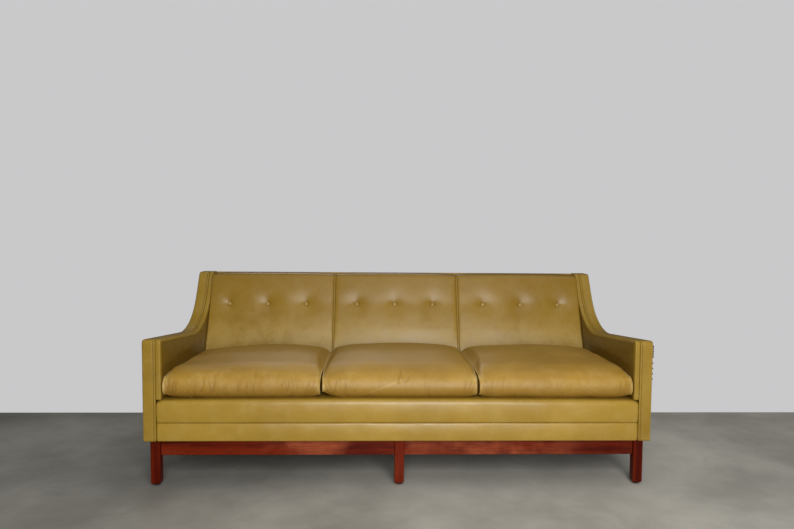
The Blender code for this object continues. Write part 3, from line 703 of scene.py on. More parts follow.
def side_panel(low_z, rear_inset, columns=110, rows=64):
    """Grid (row, column) of (y, z) under the arm's edge: each column stands on the panel's lower
    line and leans from upright at the front to the back's rake at the rear."""
    path = full_edge + inward_of(full_edge) * (EDGE_DEPTH + 0.0004)
    path = path[path[:, 1] > low_z + 0.01]
    start, lean = path[:, 0].min(), math.tan(REAR_RAKE)
    base = rear_y(low_z, rear_inset) - start
    share = (path[:, 0] - start) / (base + lean * (path[:, 1] - low_z))
    order = np.argsort(share, kind="stable")
    across = np.linspace(0.0, 1.0, columns)
    high_z = np.interp(across, share[order], path[order, 1])
    high_z[0] = path[path[:, 0] < start + 0.0005][:, 1].max()
    upward = np.linspace(0.0, 1.0, rows)[:, None]
    z = low_z + upward * (high_z[None] - low_z)
    y = start + across[None] * (base + lean * (z - low_z))
    ends = np.minimum(y - start, rear_y(z, rear_inset) - y)
    return y, z, np.minimum(ends, np.minimum(z - low_z, high_z[None] - z))


for side, sign in (("left", -1.0), ("right", 1.0)):
    y, z, margin = side_panel(UNDERSIDE, 0.004)
    swell = 0.0022 * (1.0 - np.exp(-margin / 0.007))
    swell += 0.0005 * np.sin(7.0 * y + 2.0 * sign) * np.sin(6.0 * z + 0.5)
    outer = np.stack([sign * (HALF_WIDTH - 0.0026 + swell), y, z], axis=-1)
    inner = np.stack([np.full_like(y, sign * (HALF_WIDTH - 0.0120)), y, z], axis=-1)
    # Painted shade and dirt darken the panel along its edges.
    dirt_and_shade = 0.5 * np.exp(-margin / 0.003)
    panel(f"{side}_arm_outer_hide", outer, inner, arm_hide, [f"{side}_arm_outer_panel"], dirt_and_shade)
    y, z, margin = side_panel(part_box(f"{side}_arm_inner_pad")[0].z, 0.0387)
    free = settled(z, 0.455, 0.50) * settled(face_y(z) - y, 0.004, 0.05)
    swell = 0.0050 * (1.0 - np.exp(-margin / 0.020)) * free
    outer = np.stack([sign * (INNER + 0.0002 - swell), y, z], axis=-1)
    inner = np.stack([np.full_like(y, sign * (INNER + 0.016)), y, z], axis=-1)
    # Painted shade: the inner face is darkened all over, more along its edges and most low down by the seat.
    dirt_and_shade = 0.90 + 0.10 * np.exp(-margin / 0.004) + 0.25 * np.exp(-np.clip(z - 0.44, 0, 1) / 0.02)
    panel(f"{side}_arm_inner_hide", outer, inner, arm_hide, [f"{side}_arm_inner_pad"], dirt_and_shade)


# ---- Front cover ----
# Two lengths of hide over the front rail: the upper rolls over the padded lip on to the deck, the
# lower is folded under the rail and stapled. A flat seam joins them.
FRONT_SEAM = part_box("front_band_cover")[1].z
LIP_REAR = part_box("front_lip_cover")[1].y
LIP_ROUNDING = 0.018
COVER_END = INNER_SEAM - 0.0002


def cover_across(path, thickness, crown, columns=240):
    """Grids of a padded cover whose (y, z) path is carried from arm to arm, and its lining.

    The pad thins out over the last few millimetres at each end, and is crowned along its path by
    crown times the sine of the share of the way along it.
    """
    x = np.linspace(-1.0, 1.0, columns)
    x = COVER_END * np.sign(x) * (1 - (1 - np.abs(x)) ** 1.15)
    ends = COVER_END - np.abs(x)
    pinched = 0.0035 * np.clip(1.0 - ends / 0.007, 0.0, 1.0) ** 2
    waves = 0.00016 * (np.sin(11.0 * x + 0.7) + np.sin(23.0 * x + 2.1) + 0.6 * np.sin(47.0 * x))
    share = np.linspace(0.0, 1.0, len(path))
    lift = crown(share)[:, None] * (1.0 + waves[None] / 0.0012) - pinched[None]
    out = -inward_of(path)
    spot = path[:, None, :] + out[:, None, :] * lift[..., None]
    lining = np.broadcast_to((path - out * thickness)[:, None, :], spot.shape)
    across = np.broadcast_to(x[None, :, None], spot.shape[:2] + (1,))
    return np.concatenate([across, spot], axis=-1), np.concatenate([across, lining], axis=-1), ends


COVER_FRONT = FRONT + 0.0015
lip = rounded_path([(COVER_FRONT, FRONT_SEAM + 0.0002), (COVER_FRONT, DECK_TOP), (LIP_REAR, DECK_TOP)],
                   (LIP_ROUNDING,), 0.003)
band = rounded_path([(FRONT + 0.004, UNDERSIDE - 0.0002), (COVER_FRONT, UNDERSIDE + 0.0005),
                     (COVER_FRONT, FRONT_SEAM)], (0.0025,), 0.003)
lengths = (
    ("lip", lip, lambda s: 0.0052 * np.sin(math.pi * np.clip(s * 1.75, 0, 1)) ** 0.8
     - 0.0016 * np.exp(-s / 0.012), ["front_lip_cover"]),
    ("band", band, lambda s: 0.0036 * np.sin(math.pi * np.clip(s, 0, 1)) ** 0.8
     - 0.0016 * np.exp(-(1 - s) / 0.025), ["front_band_cover"]),
)
for label, path, crown, nodes in lengths:
    outer, lining, ends = cover_across(path, 0.008, crown)
    if label == "lip":
        # The lip stands highest in the middle and its corners drop away beside the arms.
        rise = 0.0035 - 0.0055 * (outer[..., 0] / COVER_END) ** 2 - 0.006 * np.exp(-ends / 0.012)[None]
        outer[..., 2] += rise * settled(outer[..., 2], DECK_TOP - 0.03, DECK_TOP)
    # Painted shade and dirt darken the seam; painted shade darkens the ends beside the arms.
    dirt_and_shade = 0.7 * np.exp(-np.abs(outer[..., 2] - FRONT_SEAM) / 0.0022) + 0.5 * np.exp(-ends / 0.003)[None]
    if label == "lip":
        # Painted shade darkens the lip's top where it runs in under the cushions.
        dirt_and_shade += settled(outer[..., 1], FRONT + 0.03, FRONT + 0.06) * 0.6
    panel(f"front_{label}_hide", outer, lining, hide, nodes, dirt_and_shade)


# ---- Seat deck ----
# Hide stretched over felt on top of the springs, under the loose cushions. It has given a little
# under each seat.
deck_low, deck_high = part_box("seat_deck")
x, y = np.meshgrid(np.linspace(deck_low.x, deck_high.x, 150), np.linspace(deck_low.y, deck_high.y, 60))
SEAT_WIDTH = 2 * INNER / 3
give = np.cos(math.pi * x / SEAT_WIDTH) ** 2 * np.sin(math.pi * (y - deck_low.y) / (deck_high.y - deck_low.y))
top = np.stack([x, y, deck_high.z - 0.0035 * give], axis=-1)
under = np.stack([x, y, np.full_like(x, deck_low.z)], axis=-1)
# Painted shade under the cushions darkens the deck all over, and more where it has given.
panel("deck_hide", top, under, hide, ["seat_deck"], 0.25 + 0.3 * give)


# ---- Outside back ----
# One wide hide panel and a narrow one at each end, drawn tight over the rear of the frame and
# topstitched where they join.
COVERED_HEIGHT = HEIGHT - 0.002


def rear_panel(name, x_low, x_high, nodes=()):
    """A thin panel on the rear plane whose surface sinks towards its four edges."""
    columns = max(8, int((x_high - x_low) / 0.012))
    x, z = np.meshgrid(np.linspace(x_low, x_high, columns), np.linspace(UNDERSIDE, COVERED_HEIGHT, 70))
    margin = np.minimum(np.minimum(x - x_low, x_high - x), np.minimum(z - UNDERSIDE, COVERED_HEIGHT - z))
    slack = 0.0012 * np.sin(9.0 * x + 1.0) * np.sin(5.0 * z) * (margin > 0.02)
    sunk = 0.0024 * np.exp(-margin / 0.005) - slack
    surface = np.stack([x, rear_y(z) - np.clip(sunk, -0.001, 0.0026), z], axis=-1)
    lining = np.stack([x, rear_y(z, 0.0032), z], axis=-1)
    # Painted shade and dirt darken the panel towards its edges.
    dirt_and_shade = 0.5 * np.exp(-margin / 0.003)
    return panel(name, surface, lining, hide, nodes, dirt_and_shade)


rear_panel("outside_back_hide", -0.9500, 0.9500, ["outside_back"])
rear_panel("left_rear_strip", -HALF_WIDTH, -0.9506)
rear_panel("right_rear_strip", 0.9506, HALF_WIDTH)
height = np.linspace(UNDERSIDE + 0.004, HEIGHT - 0.006, 200)
for side, x in (("left", -0.9460), ("right", 0.9460)):
    route = np.column_stack([np.full_like(height, x), rear_y(height) + 0.0003, height])
    facing = np.tile([0.0, math.cos(REAR_RAKE), -math.sin(REAR_RAKE)], (len(height), 1))
    stitches(f"{side}_rear_stitches", route, facing)


# ---- Dust cover ----
# Thin black cambric stapled under the frame, slack enough to belly down between the rails.
cambric, tree, shader, place = new_material("black cambric")
threads = [add(tree, "ShaderNodeTexWave", {"Vector": place, "Scale": 300.0}, bands_direction=way)
           .outputs["Fac"] for way in ("X", "Y")]
weave = calc(tree, "MULTIPLY", threads[0], threads[1])
tree.links.new(mixed(tree, weave, (0.008, 0.008, 0.008, 1), (0.035, 0.034, 0.033, 1)),
               shader.inputs["Base Color"])
shader.inputs["Roughness"].default_value = 0.95

cloth_low, cloth_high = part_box("dust_cover")
x, y = np.meshgrid(np.linspace(cloth_low.x, cloth_high.x, 120), np.linspace(cloth_low.y, cloth_high.y, 50))
across = (x - cloth_low.x) / (cloth_high.x - cloth_low.x)
along = (y - cloth_low.y) / (cloth_high.y - cloth_low.y)
belly = 0.004 * np.sin(math.pi * along) ** 0.8 * np.abs(np.sin(3 * math.pi * across)) ** 0.8
top = np.stack([x, y, cloth_high.z - belly], axis=-1)
under = np.stack([x, y, cloth_low.z - belly], axis=-1)
cambric_sheet = closed_piece("cambric_dust_cover", *shell(top, under), cambric, "cambric",
                             nodes=["dust_cover"])


# ---- Back panels ----
# Three hide panels over rolled hair and cotton, drawn in at the seams between them and at three
# buttons each. They roll over the top rail and are stapled behind it.
back_hide = leather("olive back hide", (0.270, 0.163, 0.022, 1), (0.40, 0.28, 0.08, 1),
                    (0.185, 0.102, 0.012, 1), 0.28, 0.31, 0.32)
DECK_CLEAR = 0.0006
SEAM_HALF = 0.0040
BUTTON_DROP, BUTTON_SINK, BUTTON_RADIUS, BUTTON_DOME = 0.142, 0.0165, 0.0098, 0.0052
BUTTON_HEIGHT = BACK_TOP - BUTTON_DROP
PANEL_TOP_DROP = 0.026  # how far the panel goes down behind the top rail
LINING_DROP, LINING_INSET = 0.0245, 0.0415
FACE_OUT = np.array([0.0, -math.cos(BACK_RAKE), math.sin(BACK_RAKE)])

low_z, lining_top = DECK_TOP + DECK_CLEAR, BACK_TOP - LINING_DROP
panel_path = rounded_path(
    [(face_y(low_z), low_z), (face_y(BACK_TOP), BACK_TOP), (rear_y(BACK_TOP, 0.004), BACK_TOP),
     (rear_y(BACK_TOP - PANEL_TOP_DROP, 0.004), BACK_TOP - PANEL_TOP_DROP)],
    (0.030, 0.008), 0.0036)
panel_lining = rounded_path(
    [(rear_y(low_z, LINING_INSET), low_z), (rear_y(lining_top, LINING_INSET), lining_top),
     (rear_y(lining_top, 0.0080), lining_top),
     (rear_y(BACK_TOP - PANEL_TOP_DROP, 0.0080), BACK_TOP - PANEL_TOP_DROP)],
    (0.004, 0.001), 0.0036)
share = np.linspace(0.0, 1.0, len(panel_path))
panel_lining = np.stack([np.interp(share, np.linspace(0.0, 1.0, len(panel_lining)), panel_lining[:, axis])
                         for axis in (0, 1)], axis=-1)
panel_out = -inward_of(panel_path)
panel_out[-2:] = panel_out[-3]


def panel_swell(from_seams, z):
    """How far a panel stands out: it is drawn in at its sides and clear of the seat cushions below."""
    fullness = 0.0052 - 0.0032 * np.exp(-from_seams / 0.006) - 0.0068 * np.exp(-from_seams / 0.09)
    return fullness * settled(z, 0.455, 0.53) - 0.0012


def drawn_in(x, z, buttons, draw):
    """How deep the buttons draw the panel in (a steep dimple in a wide shallow one, and pleats), and a ring
    of painted shade round each button.
    """
    depth, dirt_and_shade = np.zeros_like(x), np.zeros_like(x)
    up_face = (z - BUTTON_HEIGHT) / math.cos(BACK_RAKE)
    for i, middle in enumerate(buttons):
        across = x - middle
        away = np.hypot(across, up_face) + 1e-6
        angle = np.arctan2(up_face, across)
        dimple = 0.0100 * np.exp(-(away / 0.0175) ** 1.15) + 0.0085 * np.exp(-(away / 0.052) ** 1.6)
        lean = draw[i % len(draw)]
        pleats = np.sin(5.0 * angle + 2.0 * lean) + 0.6 * np.sin(8.0 * angle - lean)
        below = 0.55 - 0.45 * np.sin(angle)
        pleats = 0.00024 * pleats * below * np.exp(-((away - 0.021) / 0.010) ** 2)
        folds = 0.0011 * np.exp(-((angle + 1.35 + 0.5 * lean) / 0.16) ** 2) * settled(away, 0.010, 0.016)
        folds = folds * np.exp(-(away / 0.034) ** 2)
        depth = depth + dimple + pleats + folds
        # A ring of painted shade round the button, in the bottom of its dimple.
        dirt_and_shade = dirt_and_shade + 0.85 * np.exp(-((away - 0.0115) / 0.0028) ** 2)
    # The row of buttons also lies in a faint trough across the panel.
    trough = 0.0016 * np.exp(-(up_face / 0.035) ** 2)
    return depth + trough, dirt_and_shade


def covered_button(name, node, middle):
    """A domed button: rings of shrinking radius up a quarter-round profile, turned to face out."""
    lean = np.linspace(0.0, math.pi / 2, 12)
    radius = np.concatenate([[0.02, 0.6, 0.93], np.cos(lean[:-1]), [0.03]]) * BUTTON_RADIUS
    rise = np.concatenate([[-0.0030, -0.0030, -0.0016], BUTTON_DOME * np.sin(lean[:-1]), [BUTTON_DOME]])
    turn = np.linspace(0.0, 2 * math.pi, 32, endpoint=False)
    up_face = np.array([0.0, math.sin(BACK_RAKE), math.cos(BACK_RAKE)])
    centre = np.array([middle, face_y(BUTTON_HEIGHT), BUTTON_HEIGHT]) - FACE_OUT * BUTTON_SINK
    rings = (centre + rise[:, None, None] * FACE_OUT
             + radius[:, None, None] * (np.cos(turn)[None, :, None] * np.array([1.0, 0.0, 0.0])
                                        + np.sin(turn)[None, :, None] * up_face))
    # The dome is rubbed pale and lightened as a painted highlight; the part sunk in the dimple is darkened as
    # painted shade.
    wear_and_highlight = np.concatenate([np.repeat(settled(rise, 0.001, 0.005) * 0.7, len(turn)), [0.0, 0.7]])
    dirt_and_shade = np.concatenate([np.repeat(settled(-rise, -0.0015, 0.001), len(turn)), [1.0, 0.0]])
    closed_piece(name, *tube(rings), back_hide, "hide", nodes=[node], wear_and_highlight=wear_and_highlight, dirt_and_shade=dirt_and_shade)


PANELS = (("left", -SEAT_WIDTH, (0.4, -0.3, 0.9)), ("middle", 0.0, (-0.6, 0.2, -0.1)),
          ("right", SEAT_WIDTH, (0.1, 0.7, -0.5)))
for name, middle, draw in PANELS:
    half = SEAT_WIDTH / 2
    low_x = middle - half + (SEAM_HALF if name != "left" else 0.0006)
    high_x = middle + half - (SEAM_HALF if name != "right" else 0.0006)
    x = np.linspace(low_x, high_x, 168)
    x = x + 0.0004 * np.sin(2 * math.pi * (x - low_x) / (high_x - low_x))
    from_seams = np.minimum(x - low_x, high_x - x)
    corners = [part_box(f"{name}_button_{i}") for i in (1, 2, 3)]
    buttons = [(low.x + high.x) / 2 for low, high in corners]
    surface_x = np.broadcast_to(x[None], (len(panel_path), len(x)))
    surface_z = np.broadcast_to(panel_path[:, 1:2], surface_x.shape)
    depth, dirt_and_shade = drawn_in(surface_x, surface_z, buttons, draw)
    on_face = settled(-panel_out[:, :1], 0.6, 0.9)
    slack = 0.0007 * np.sin(9.0 * surface_x + 3.0 * middle) * np.sin(14.0 * surface_z + 1.0)
    slack = slack + 0.0004 * np.sin(31.0 * surface_x + 9.0 * surface_z)
    behind = settled(panel_out[:, :1], 0.2, 0.8)
    swell = panel_swell(from_seams[None], surface_z) * (1 - 0.75 * behind)
    swell = swell + (slack - depth) * on_face * settled(surface_z, 0.47, 0.53)
    spot = panel_path[:, None, :] + panel_out[:, None, :] * swell[..., None]
    outer = np.concatenate([surface_x[..., None], spot], axis=-1)
    lining = np.broadcast_to(panel_lining[:, None], spot.shape)
    lining = np.concatenate([surface_x[..., None], lining], axis=-1)
    # Painted light: the lower part of the face is lightened.
    wear_and_highlight = 0.50 * (1 - settled(surface_z, 0.47, 0.62))
    # Painted shade and dirt darken the seams, and the button rings are painted shade.
    dirt_and_shade = dirt_and_shade * on_face + 0.5 * np.exp(-from_seams / 0.0016)[None]
    # Painted shade darkens the upper part of the face, and more the top and the part behind it.
    dirt_and_shade = dirt_and_shade + 0.38 * settled(surface_z, 0.62, BACK_TOP) + 0.30 * (1 - on_face)
    piece = panel(f"{name}_back_panel", outer, lining, back_hide, [f"{name}_back_pad"], dirt_and_shade, wear_and_highlight)
    for i, spot_x in enumerate(buttons):
        covered_button(f"{name}_covered_button_{i + 1}", f"{name}_button_{i + 1}", spot_x)

seam_section = denser(strip_section(-SEAM_HALF + 0.0003, SEAM_HALF - 0.0003, 0.010, 0.0016, 0.0016), 0.0008)
seam_path = panel_path + panel_out * (-0.0040 * settled(panel_path[:, 1:2], 0.455, 0.53) - 0.0010)
for side, sign in (("left", -1.0), ("right", 1.0)):
    section = seam_section + (sign * SEAT_WIDTH / 2, 0.0)
    rings = carried(seam_path[:-6], section)
    # Painted shade and dirt darken the strip's edges, where it meets the panels.
    depth = np.concatenate([np.tile(0.5 * np.exp(-((np.abs(seam_section[:, 0]) - SEAM_HALF) / 0.0012) ** 2),
                                    len(rings)), [0.0, 0.0]])
    closed_piece(f"{side}_back_seam", *tube(rings), back_hide, "hide", dirt_and_shade=depth)


# ---- Seat cushions ----
# Three loose cushions, foam wrapped in down and covered in softer hide: one panel runs from under
# the front over the top and down the rear, and a boxing strip closes each end.
cushion_hide = leather("worn cushion hide", (0.345, 0.200, 0.026, 1), (0.50, 0.35, 0.12, 1),
                       (0.235, 0.126, 0.018, 1), 0.42, 0.43, 0.30)


def cushion_profile(count):
    """Upper and lower halves of the cushion's side outline, each from its front to its rear edge."""
    low, rear_low, rear_high = 0.3570, face_y(0.372) - 0.004, face_y(0.438) - 0.004
    front = FRONT + 0.004
    corners = [(0.0, low), (front, low + 0.002), (front, 0.4330), (front + 0.105, 0.4640), (-0.15, 0.4750),
               (0.05, 0.4640), (rear_high, 0.443), (rear_low, low), (0.0, low)]
    outline = rounded_path(corners, (0.033, 0.050, 0.22, 0.4, 0.3, 0.022, 0.018), 0.002)
    first = np.argmin(outline[:, 0])
    outline = np.roll(outline[:-1], -first, axis=0)
    last = np.argmax(outline[:, 0])
    halves = (outline[:last + 1], np.concatenate([outline[last:], outline[:1]])[::-1])
    if halves[0][len(halves[0]) // 2, 1] < halves[1][len(halves[1]) // 2, 1]:
        halves = halves[::-1]
    sampled = []
    for half in halves:
        length = np.concatenate([[0.0], np.cumsum(np.linalg.norm(np.diff(half, axis=0), axis=1))])
        wanted = np.linspace(0.0, length[-1], count)
        sampled.append(np.stack([np.interp(wanted, length, half[:, axis]) for axis in (0, 1)], axis=-1))
    return sampled


def boxed_cushion(middle, half, across=104, count=84, layers=9):
    """Points, quads and (x share, ring) of a cushion: rings round its outline, and ladders of quads
    between the upper and lower halves at its two ends."""
    upper, lower = cushion_profile(count)
    ring = np.concatenate([upper, lower[-2:0:-1]])
    around = len(ring)
    x = np.linspace(-1.0, 1.0, across)
    x = half * (x * 0.93 + 0.07 * x ** 5)
    points = np.empty((across, around, 3))
    points[..., 0] = x[:, None]
    points[..., 1:] = ring[None]
    index = np.arange(across * around).reshape(across, around)
    wrapped = np.concatenate([index, index[:, :1]], axis=1)
    quads = [cells_of(wrapped)]
    points = points.reshape(-1, 3)
    for end in (0, across - 1):
        top, bottom = index[end, :count], np.concatenate([index[end, :1], index[end, :count - 2:-1]])
        levels = np.linspace(0.0, 1.0, layers + 2)[1:-1, None, None]
        fill = points[top][None] * (1 - levels) + points[bottom][None] * levels
        fill = fill[:, 1:-1].reshape(-1, 3)
        numbers = len(points) + np.arange(len(fill)).reshape(layers, count - 2)
        inside = np.concatenate([np.broadcast_to(top[:1], (layers, 1)), numbers,
                                 np.broadcast_to(top[-1:], (layers, 1))], axis=1)
        ladder = np.concatenate([top[None], inside, bottom[None]])
        quads.append(cells_of(ladder) if end == 0 else cells_of(ladder)[:, ::-1])
        points = np.concatenate([points, fill])
    points[:, 0] += middle
    return points, np.concatenate(quads), index


def tidy_faces(faces):
    """Quads whose repeated corner is dropped, so that the ladders' ends are triangles."""
    kept = []
    for face in faces.tolist():
        slim = [corner for i, corner in enumerate(face) if corner != face[i - 1]]
        if len(slim) > 2:
            kept.append(tuple(slim))
    return kept


def points_of(mesh):
    """A mesh's vertices as an (n, 3) array."""
    flat = np.empty(len(mesh.vertices) * 3, dtype=np.float32)
    mesh.vertices.foreach_get("co", flat)
    return flat.reshape(-1, 3).astype(float)


def stuffed(piece, pressure, cap, frames=20):
    """Fills the cover as cloth under pressure, then keeps each point within cap of where it began."""
    rest = points_of(piece.data)
    cloth = piece.modifiers.new("filling", "CLOTH")
    cloth.settings.quality = 5
    cloth.settings.mass = 0.4
    cloth.settings.tension_stiffness = 8.0
    cloth.settings.compression_stiffness = 8.0
    cloth.settings.shear_stiffness = 5.0
    cloth.settings.bending_stiffness = 1.0
    cloth.settings.use_pressure = True
    cloth.settings.uniform_pressure_force = pressure
    cloth.settings.effector_weights.gravity = 0.0
    cloth.collision_settings.use_collision = False
    scene = bpy.context.scene
    scene.frame_start, scene.frame_end = 1, frames
    for step in range(1, frames + 1):
        scene.frame_set(step)
    swollen = points_of(piece.evaluated_get(bpy.context.evaluated_depsgraph_get()).data)
    piece.modifiers.remove(cloth)
    scene.frame_set(1)
    moved = swollen - rest
    length = np.linalg.norm(moved, axis=1, keepdims=True)
    return rest + moved * (cap * np.tanh(length / cap) / np.maximum(length, 1e-9))


def subdivided(piece):
    """Applies one smooth subdivision to the piece's mesh."""
    levels = piece.modifiers.new("smoothing", "SUBSURF")
    levels.levels = levels.render_levels = 1
    smooth = bpy.data.meshes.new_from_object(piece.evaluated_get(bpy.context.evaluated_depsgraph_get()))
    piece.modifiers.remove(levels)
    piece.data = smooth


def vertex_normals(mesh):
    """A mesh's vertex normals as an (n, 3) array."""
    flat = np.empty(len(mesh.vertices) * 3, dtype=np.float32)
    mesh.vertices.foreach_get("normal", flat)
    return flat.reshape(-1, 3).astype(float)


def set_mask(mesh, label, values):
    """Stores one number for each vertex under a label that the finish reads."""
    data = mesh.attributes.get(label) or mesh.attributes.new(label, "FLOAT", "POINT")
    data.data.foreach_set("value", np.clip(values, 0.0, 1.0).astype(np.float32))


WELT_RADIUS, WELT_SIDES, WELT_WEAR = 0.0019, 8, 0.65


def hoop(path):
    """Points and faces of a round cord along a closed path that lies near one plane of constant X."""
    heading = np.roll(path, -1, axis=0) - np.roll(path, 1, axis=0)
    heading /= np.maximum(np.linalg.norm(heading, axis=1, keepdims=True), 1e-9)
    over = np.cross(heading, np.array([1.0, 0.0, 0.0]))
    over /= np.maximum(np.linalg.norm(over, axis=1, keepdims=True), 1e-9)
    beside = np.cross(heading, over)
    angle = np.linspace(0.0, 2 * math.pi, WELT_SIDES, endpoint=False)
    rings = path[:, None] + WELT_RADIUS * (np.cos(angle)[None, :, None] * over[:, None]
                                           + np.sin(angle)[None, :, None] * beside[:, None])
    index = np.arange(len(path) * WELT_SIDES).reshape(len(path), WELT_SIDES)
    on, round_ = np.roll(index, -1, axis=0), np.roll(index, -1, axis=1)
    faces = np.stack([index, round_, np.roll(on, -1, axis=1), on], axis=-1).reshape(-1, 4)
    return rings.reshape(-1, 3), faces


def creased(x, z, y, creases):
    """Sum of narrow furrows. Each is (x, lowest z, highest z, width, depth, slant): a Gaussian
    across its slanting line, fading at both ends."""
    depth = np.zeros_like(x)
    for at, low, high, width, deep, slant in creases:
        line = at + slant * (z - 0.40) + 0.15 * slant * (y - FRONT)
        leaning = z + 0.25 * (y - FRONT - 0.03)
        along = settled(z, low, low + 0.012) * (1 - settled(leaning, high - 0.014, high))
        depth += deep * np.exp(-((x - line) / width) ** 2) * along
    return depth


CUSHION_HALF = SEAT_WIDTH / 2 - 0.0012
BOXING = 0.0095  # how far the boxing strips swell past the end seams
SQUEEZE = 0.004  # within this of a neighbour the cushion flattens against it
MIDWAY = 0.396  # height about which the ends are thinned
PRESSURE, REACH = 4.0, 0.014
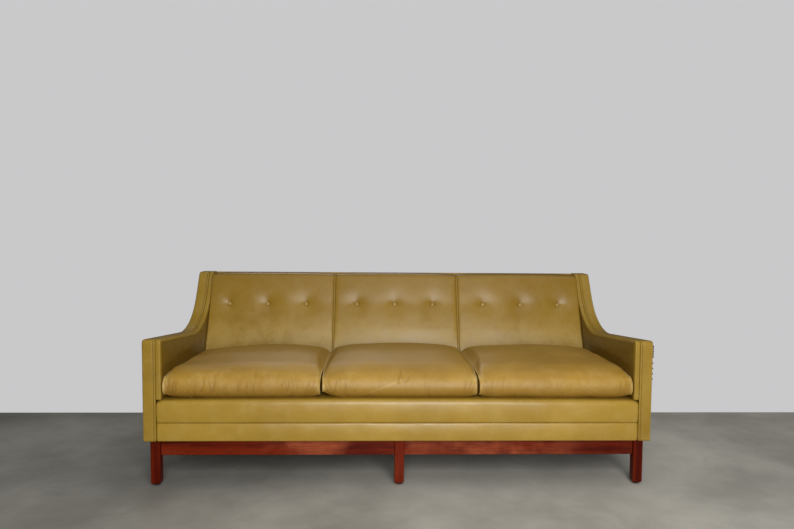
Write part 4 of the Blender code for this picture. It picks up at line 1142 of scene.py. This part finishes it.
# Each cushion: middle X, where its crown is fullest and by how much, then how far and how steeply
# (as a power) the top falls from there to its left and its right end.
CUSHIONS = (("left", -SEAT_WIDTH, (0.30, 0.003), (0.028, 1.7), (0.018, 2.6)),
            ("middle", 0.0, (0.0, 0.010), (0.020, 4.0), (0.020, 4.0)),
            ("right", SEAT_WIDTH, (0.0, 0.004), (0.014, 5.0), (0.020, 3.0)))
FORKED_CREASE = [(-0.012, 0.412, 0.470, 0.0040, 0.0022, 0.20), (-0.002, 0.415, 0.445, 0.0036, 0.0018, 0.9)]
SCRATCH = np.array([[-0.120, 0.380], [0.004, 0.429]])  # (x, z) of its two ends
folds_at = np.random.default_rng(7)
for name, middle, (fullest, crown_rise), falls_left, falls_right in CUSHIONS:
    points, quads, index = boxed_cushion(middle, CUSHION_HALF - BOXING)
    seam = np.zeros(len(points))
    seam[index[0]] = seam[index[-1]] = 1.0
    boxing = np.ones(len(points))
    boxing[index[1:-1].ravel()] = 0.0
    # The ends are drawn in: thinner and set back a little at the corners.
    share = (points[:, 0] - middle) / (CUSHION_HALF - BOXING)
    near_end = np.exp(-(1 - np.abs(share)) * (CUSHION_HALF - BOXING) / 0.045)
    lifted = np.where((share < 0) & (name == "middle"), 0.46, 0.10)
    thinner = np.where(points[:, 2] > MIDWAY, 0.18, lifted)
    points[:, 2] = MIDWAY + (points[:, 2] - MIDWAY) * (1 - thinner * near_end)
    points[:, 1] += settled(-points[:, 1], 0.30, 0.42) * near_end * 0.006
    piece = closed_piece(f"{name}_loose_cushion", points, tidy_faces(quads), cushion_hide, "cushion_hide",
                         f"{name}_cushion", [f"{name}_seat_cushion"], dirt_and_shade=seam, wear_and_highlight=boxing)
    moved = stuffed(piece, PRESSURE, REACH)
    # The filled cover is drawn out again until its ends meet the neighbours and its front the lip.
    stations = np.linspace(moved[:, 1].min() + 0.012, moved[:, 1].max() - 0.012, 26)
    reach = [np.abs(moved[np.abs(moved[:, 1] - at) < 0.02][:, 0] - middle).max() for at in stations]
    from_ends = np.minimum(stations - stations[0], stations[-1] - stations)
    corner = 0.004 * np.exp(-from_ends / 0.03)
    wider = np.interp(moved[:, 1], stations, (CUSHION_HALF - corner) / np.array(reach))
    moved[:, 0] = middle + (moved[:, 0] - middle) * wider
    moved[:, 1] -= (moved[:, 1].min() - FRONT - 0.001) * settled(-moved[:, 1], 0.0, 0.42)
    piece.data.vertices.foreach_set("co", moved.astype(np.float32).ravel())
    piece.data.update()
    subdivided(piece)
    spots = points_of(piece.data)
    x, y, z = spots.T
    share = np.clip((x - middle) / CUSHION_HALF, -1.0, 1.0)
    data = np.empty(len(x), dtype=np.float32)
    piece.data.attributes["dirt_and_shade"].data.foreach_get("value", data)
    seam = data.astype(float)
    piece.data.attributes["wear_and_highlight"].data.foreach_get("value", data)
    boxing = data.astype(float)
    # The down settles differently under each seat: a broad crown that falls away at both ends.
    top = settled(z, 0.385, 0.425)
    to_left = np.clip((fullest - share) / (1 + fullest), 0.0, 1.0)
    to_right = np.clip((share - fullest) / (1 - fullest), 0.0, 1.0)
    rise = crown_rise
    for fall, steepness, gone in ((*falls_left, to_left), (*falls_right, to_right)):
        rise = rise - fall * gone ** steepness
    spots[:, 2] += top * rise * settled(y, FRONT, FRONT + 0.22)
    unevenness = np.sin(9 * x + 1.3) * np.sin(8 * y + 0.4) + 0.6 * np.sin(21 * x + 13 * y)
    spots[:, 2] += top * 0.0016 * unevenness
    # It stands on the deck, between its neighbours and against the back.
    spots[:, 2] = np.maximum(spots[:, 2], DECK_TOP + 0.0012)
    squeezed_from = CUSHION_HALF - SQUEEZE
    over = np.abs(x - middle) - squeezed_from
    squeezed = middle + np.sign(x - middle) * (squeezed_from + SQUEEZE * np.tanh(over / SQUEEZE))
    spots[:, 0] = np.where(over > 0, squeezed, x)
    spots[:, 1] = np.minimum(spots[:, 1], face_y(spots[:, 2]) - 0.0016)
    spots[:, 1] = np.maximum(spots[:, 1], FRONT - 0.006)
    piece.data.vertices.foreach_set("co", spots.astype(np.float32).ravel())
    piece.data.update()
    x, y, z = spots.T
    front = settled(-y, -FRONT - 0.10, -FRONT - 0.03) * (1 - boxing)
    creases, count = [], {"left": 40, "middle": 10, "right": 6}[name]
    for _ in range(count):
        across = folds_at.uniform(-0.93, 0.80) * CUSHION_HALF
        deep = folds_at.uniform(0.0002, 0.0006) * (1.2 if name == "left" and across < -0.1 else 0.8)
        high = folds_at.uniform(0.415, 0.452)
        creases.append((middle + across, folds_at.uniform(0.362, 0.385), high,
                        folds_at.uniform(0.0024, 0.0040), deep, folds_at.uniform(-0.25, 0.25)))
    puckers = [(middle + sign * (CUSHION_HALF - reach), 0.366, 0.430, 0.0046, 0.0007, slant)
               for sign in (-1, 1)
                for reach, slant in ((0.020, 0.5 * sign), (0.034, 0.35 * sign), (0.052, 0.2))]
    furrow = creased(x, z, y, creases + puckers)
    if name == "middle":
        furrow += creased(x, z, y, FORKED_CREASE)
    ripple = (0.0005 * np.sin(26 * (x - middle) + 3 * middle + 9 * z)
              + 0.0002 * np.sin(61 * x + 20 * z + middle))
    depth = furrow * front + ripple * front
    depth -= 0.0010 * seam ** 2
    normals = vertex_normals(piece.data)
    spots = spots - normals * depth[:, None]
    piece.data.vertices.foreach_set("co", spots.astype(np.float32).ravel())
    piece.data.update()
    # The front edges and the seams are rubbed pale; painted shade darkens the tops, and a painted highlight
    # lightens a band across the front.
    crown = settled(z, 0.405, 0.455) * settled(y, FRONT, FRONT + 0.15)
    wear_and_highlight = (0.75 * seam
            + 0.55 * np.exp(-((CUSHION_HALF - np.abs(x - middle) - 0.012) / 0.010) ** 2) * (1 - crown))
    # A painted highlight lightens a band across the middle of the front.
    wear_and_highlight += 0.18 * front * settled(z, 0.39, 0.41) * (1 - settled(z, 0.425, 0.445))
    if name == "middle":
        start, end = SCRATCH
        run = end - start
        along = np.clip(((x - start[0]) * run[0] + (z - start[1]) * run[1]) / (run @ run), 0.0, 1.0)
        away = np.hypot(x - start[0] - along * run[0], z - start[1] - along * run[1])
        wear_and_highlight += 0.9 * np.exp(-(away / 0.0030) ** 2) * front
    # Painted shade darkens the tops and the creases on the front.
    dirt_and_shade = 0.42 * crown + 0.50 * np.clip(furrow / 0.0008, 0, 1) * front
    # Painted shade darkens the lower part of the front.
    dirt_and_shade += 0.65 * front * (1 - settled(z, 0.380, 0.435))
    # Painted shadow darkens the cushion just above the deck.
    dirt_and_shade += 0.8 * (1 - settled(z, DECK_TOP + 0.003, DECK_TOP + 0.018))
    set_mask(piece.data, "wear_and_highlight", wear_and_highlight)
    set_mask(piece.data, "dirt_and_shade", dirt_and_shade)
    for end, ring in (("left", index[0]), ("right", index[-1])):
        closed_piece(f"{name}_cushion_{end}_welt", *hoop(spots[ring]), cushion_hide, "cushion_hide",
                     f"{name}_cushion", wear_and_highlight=np.full(len(ring) * WELT_SIDES, WELT_WEAR))
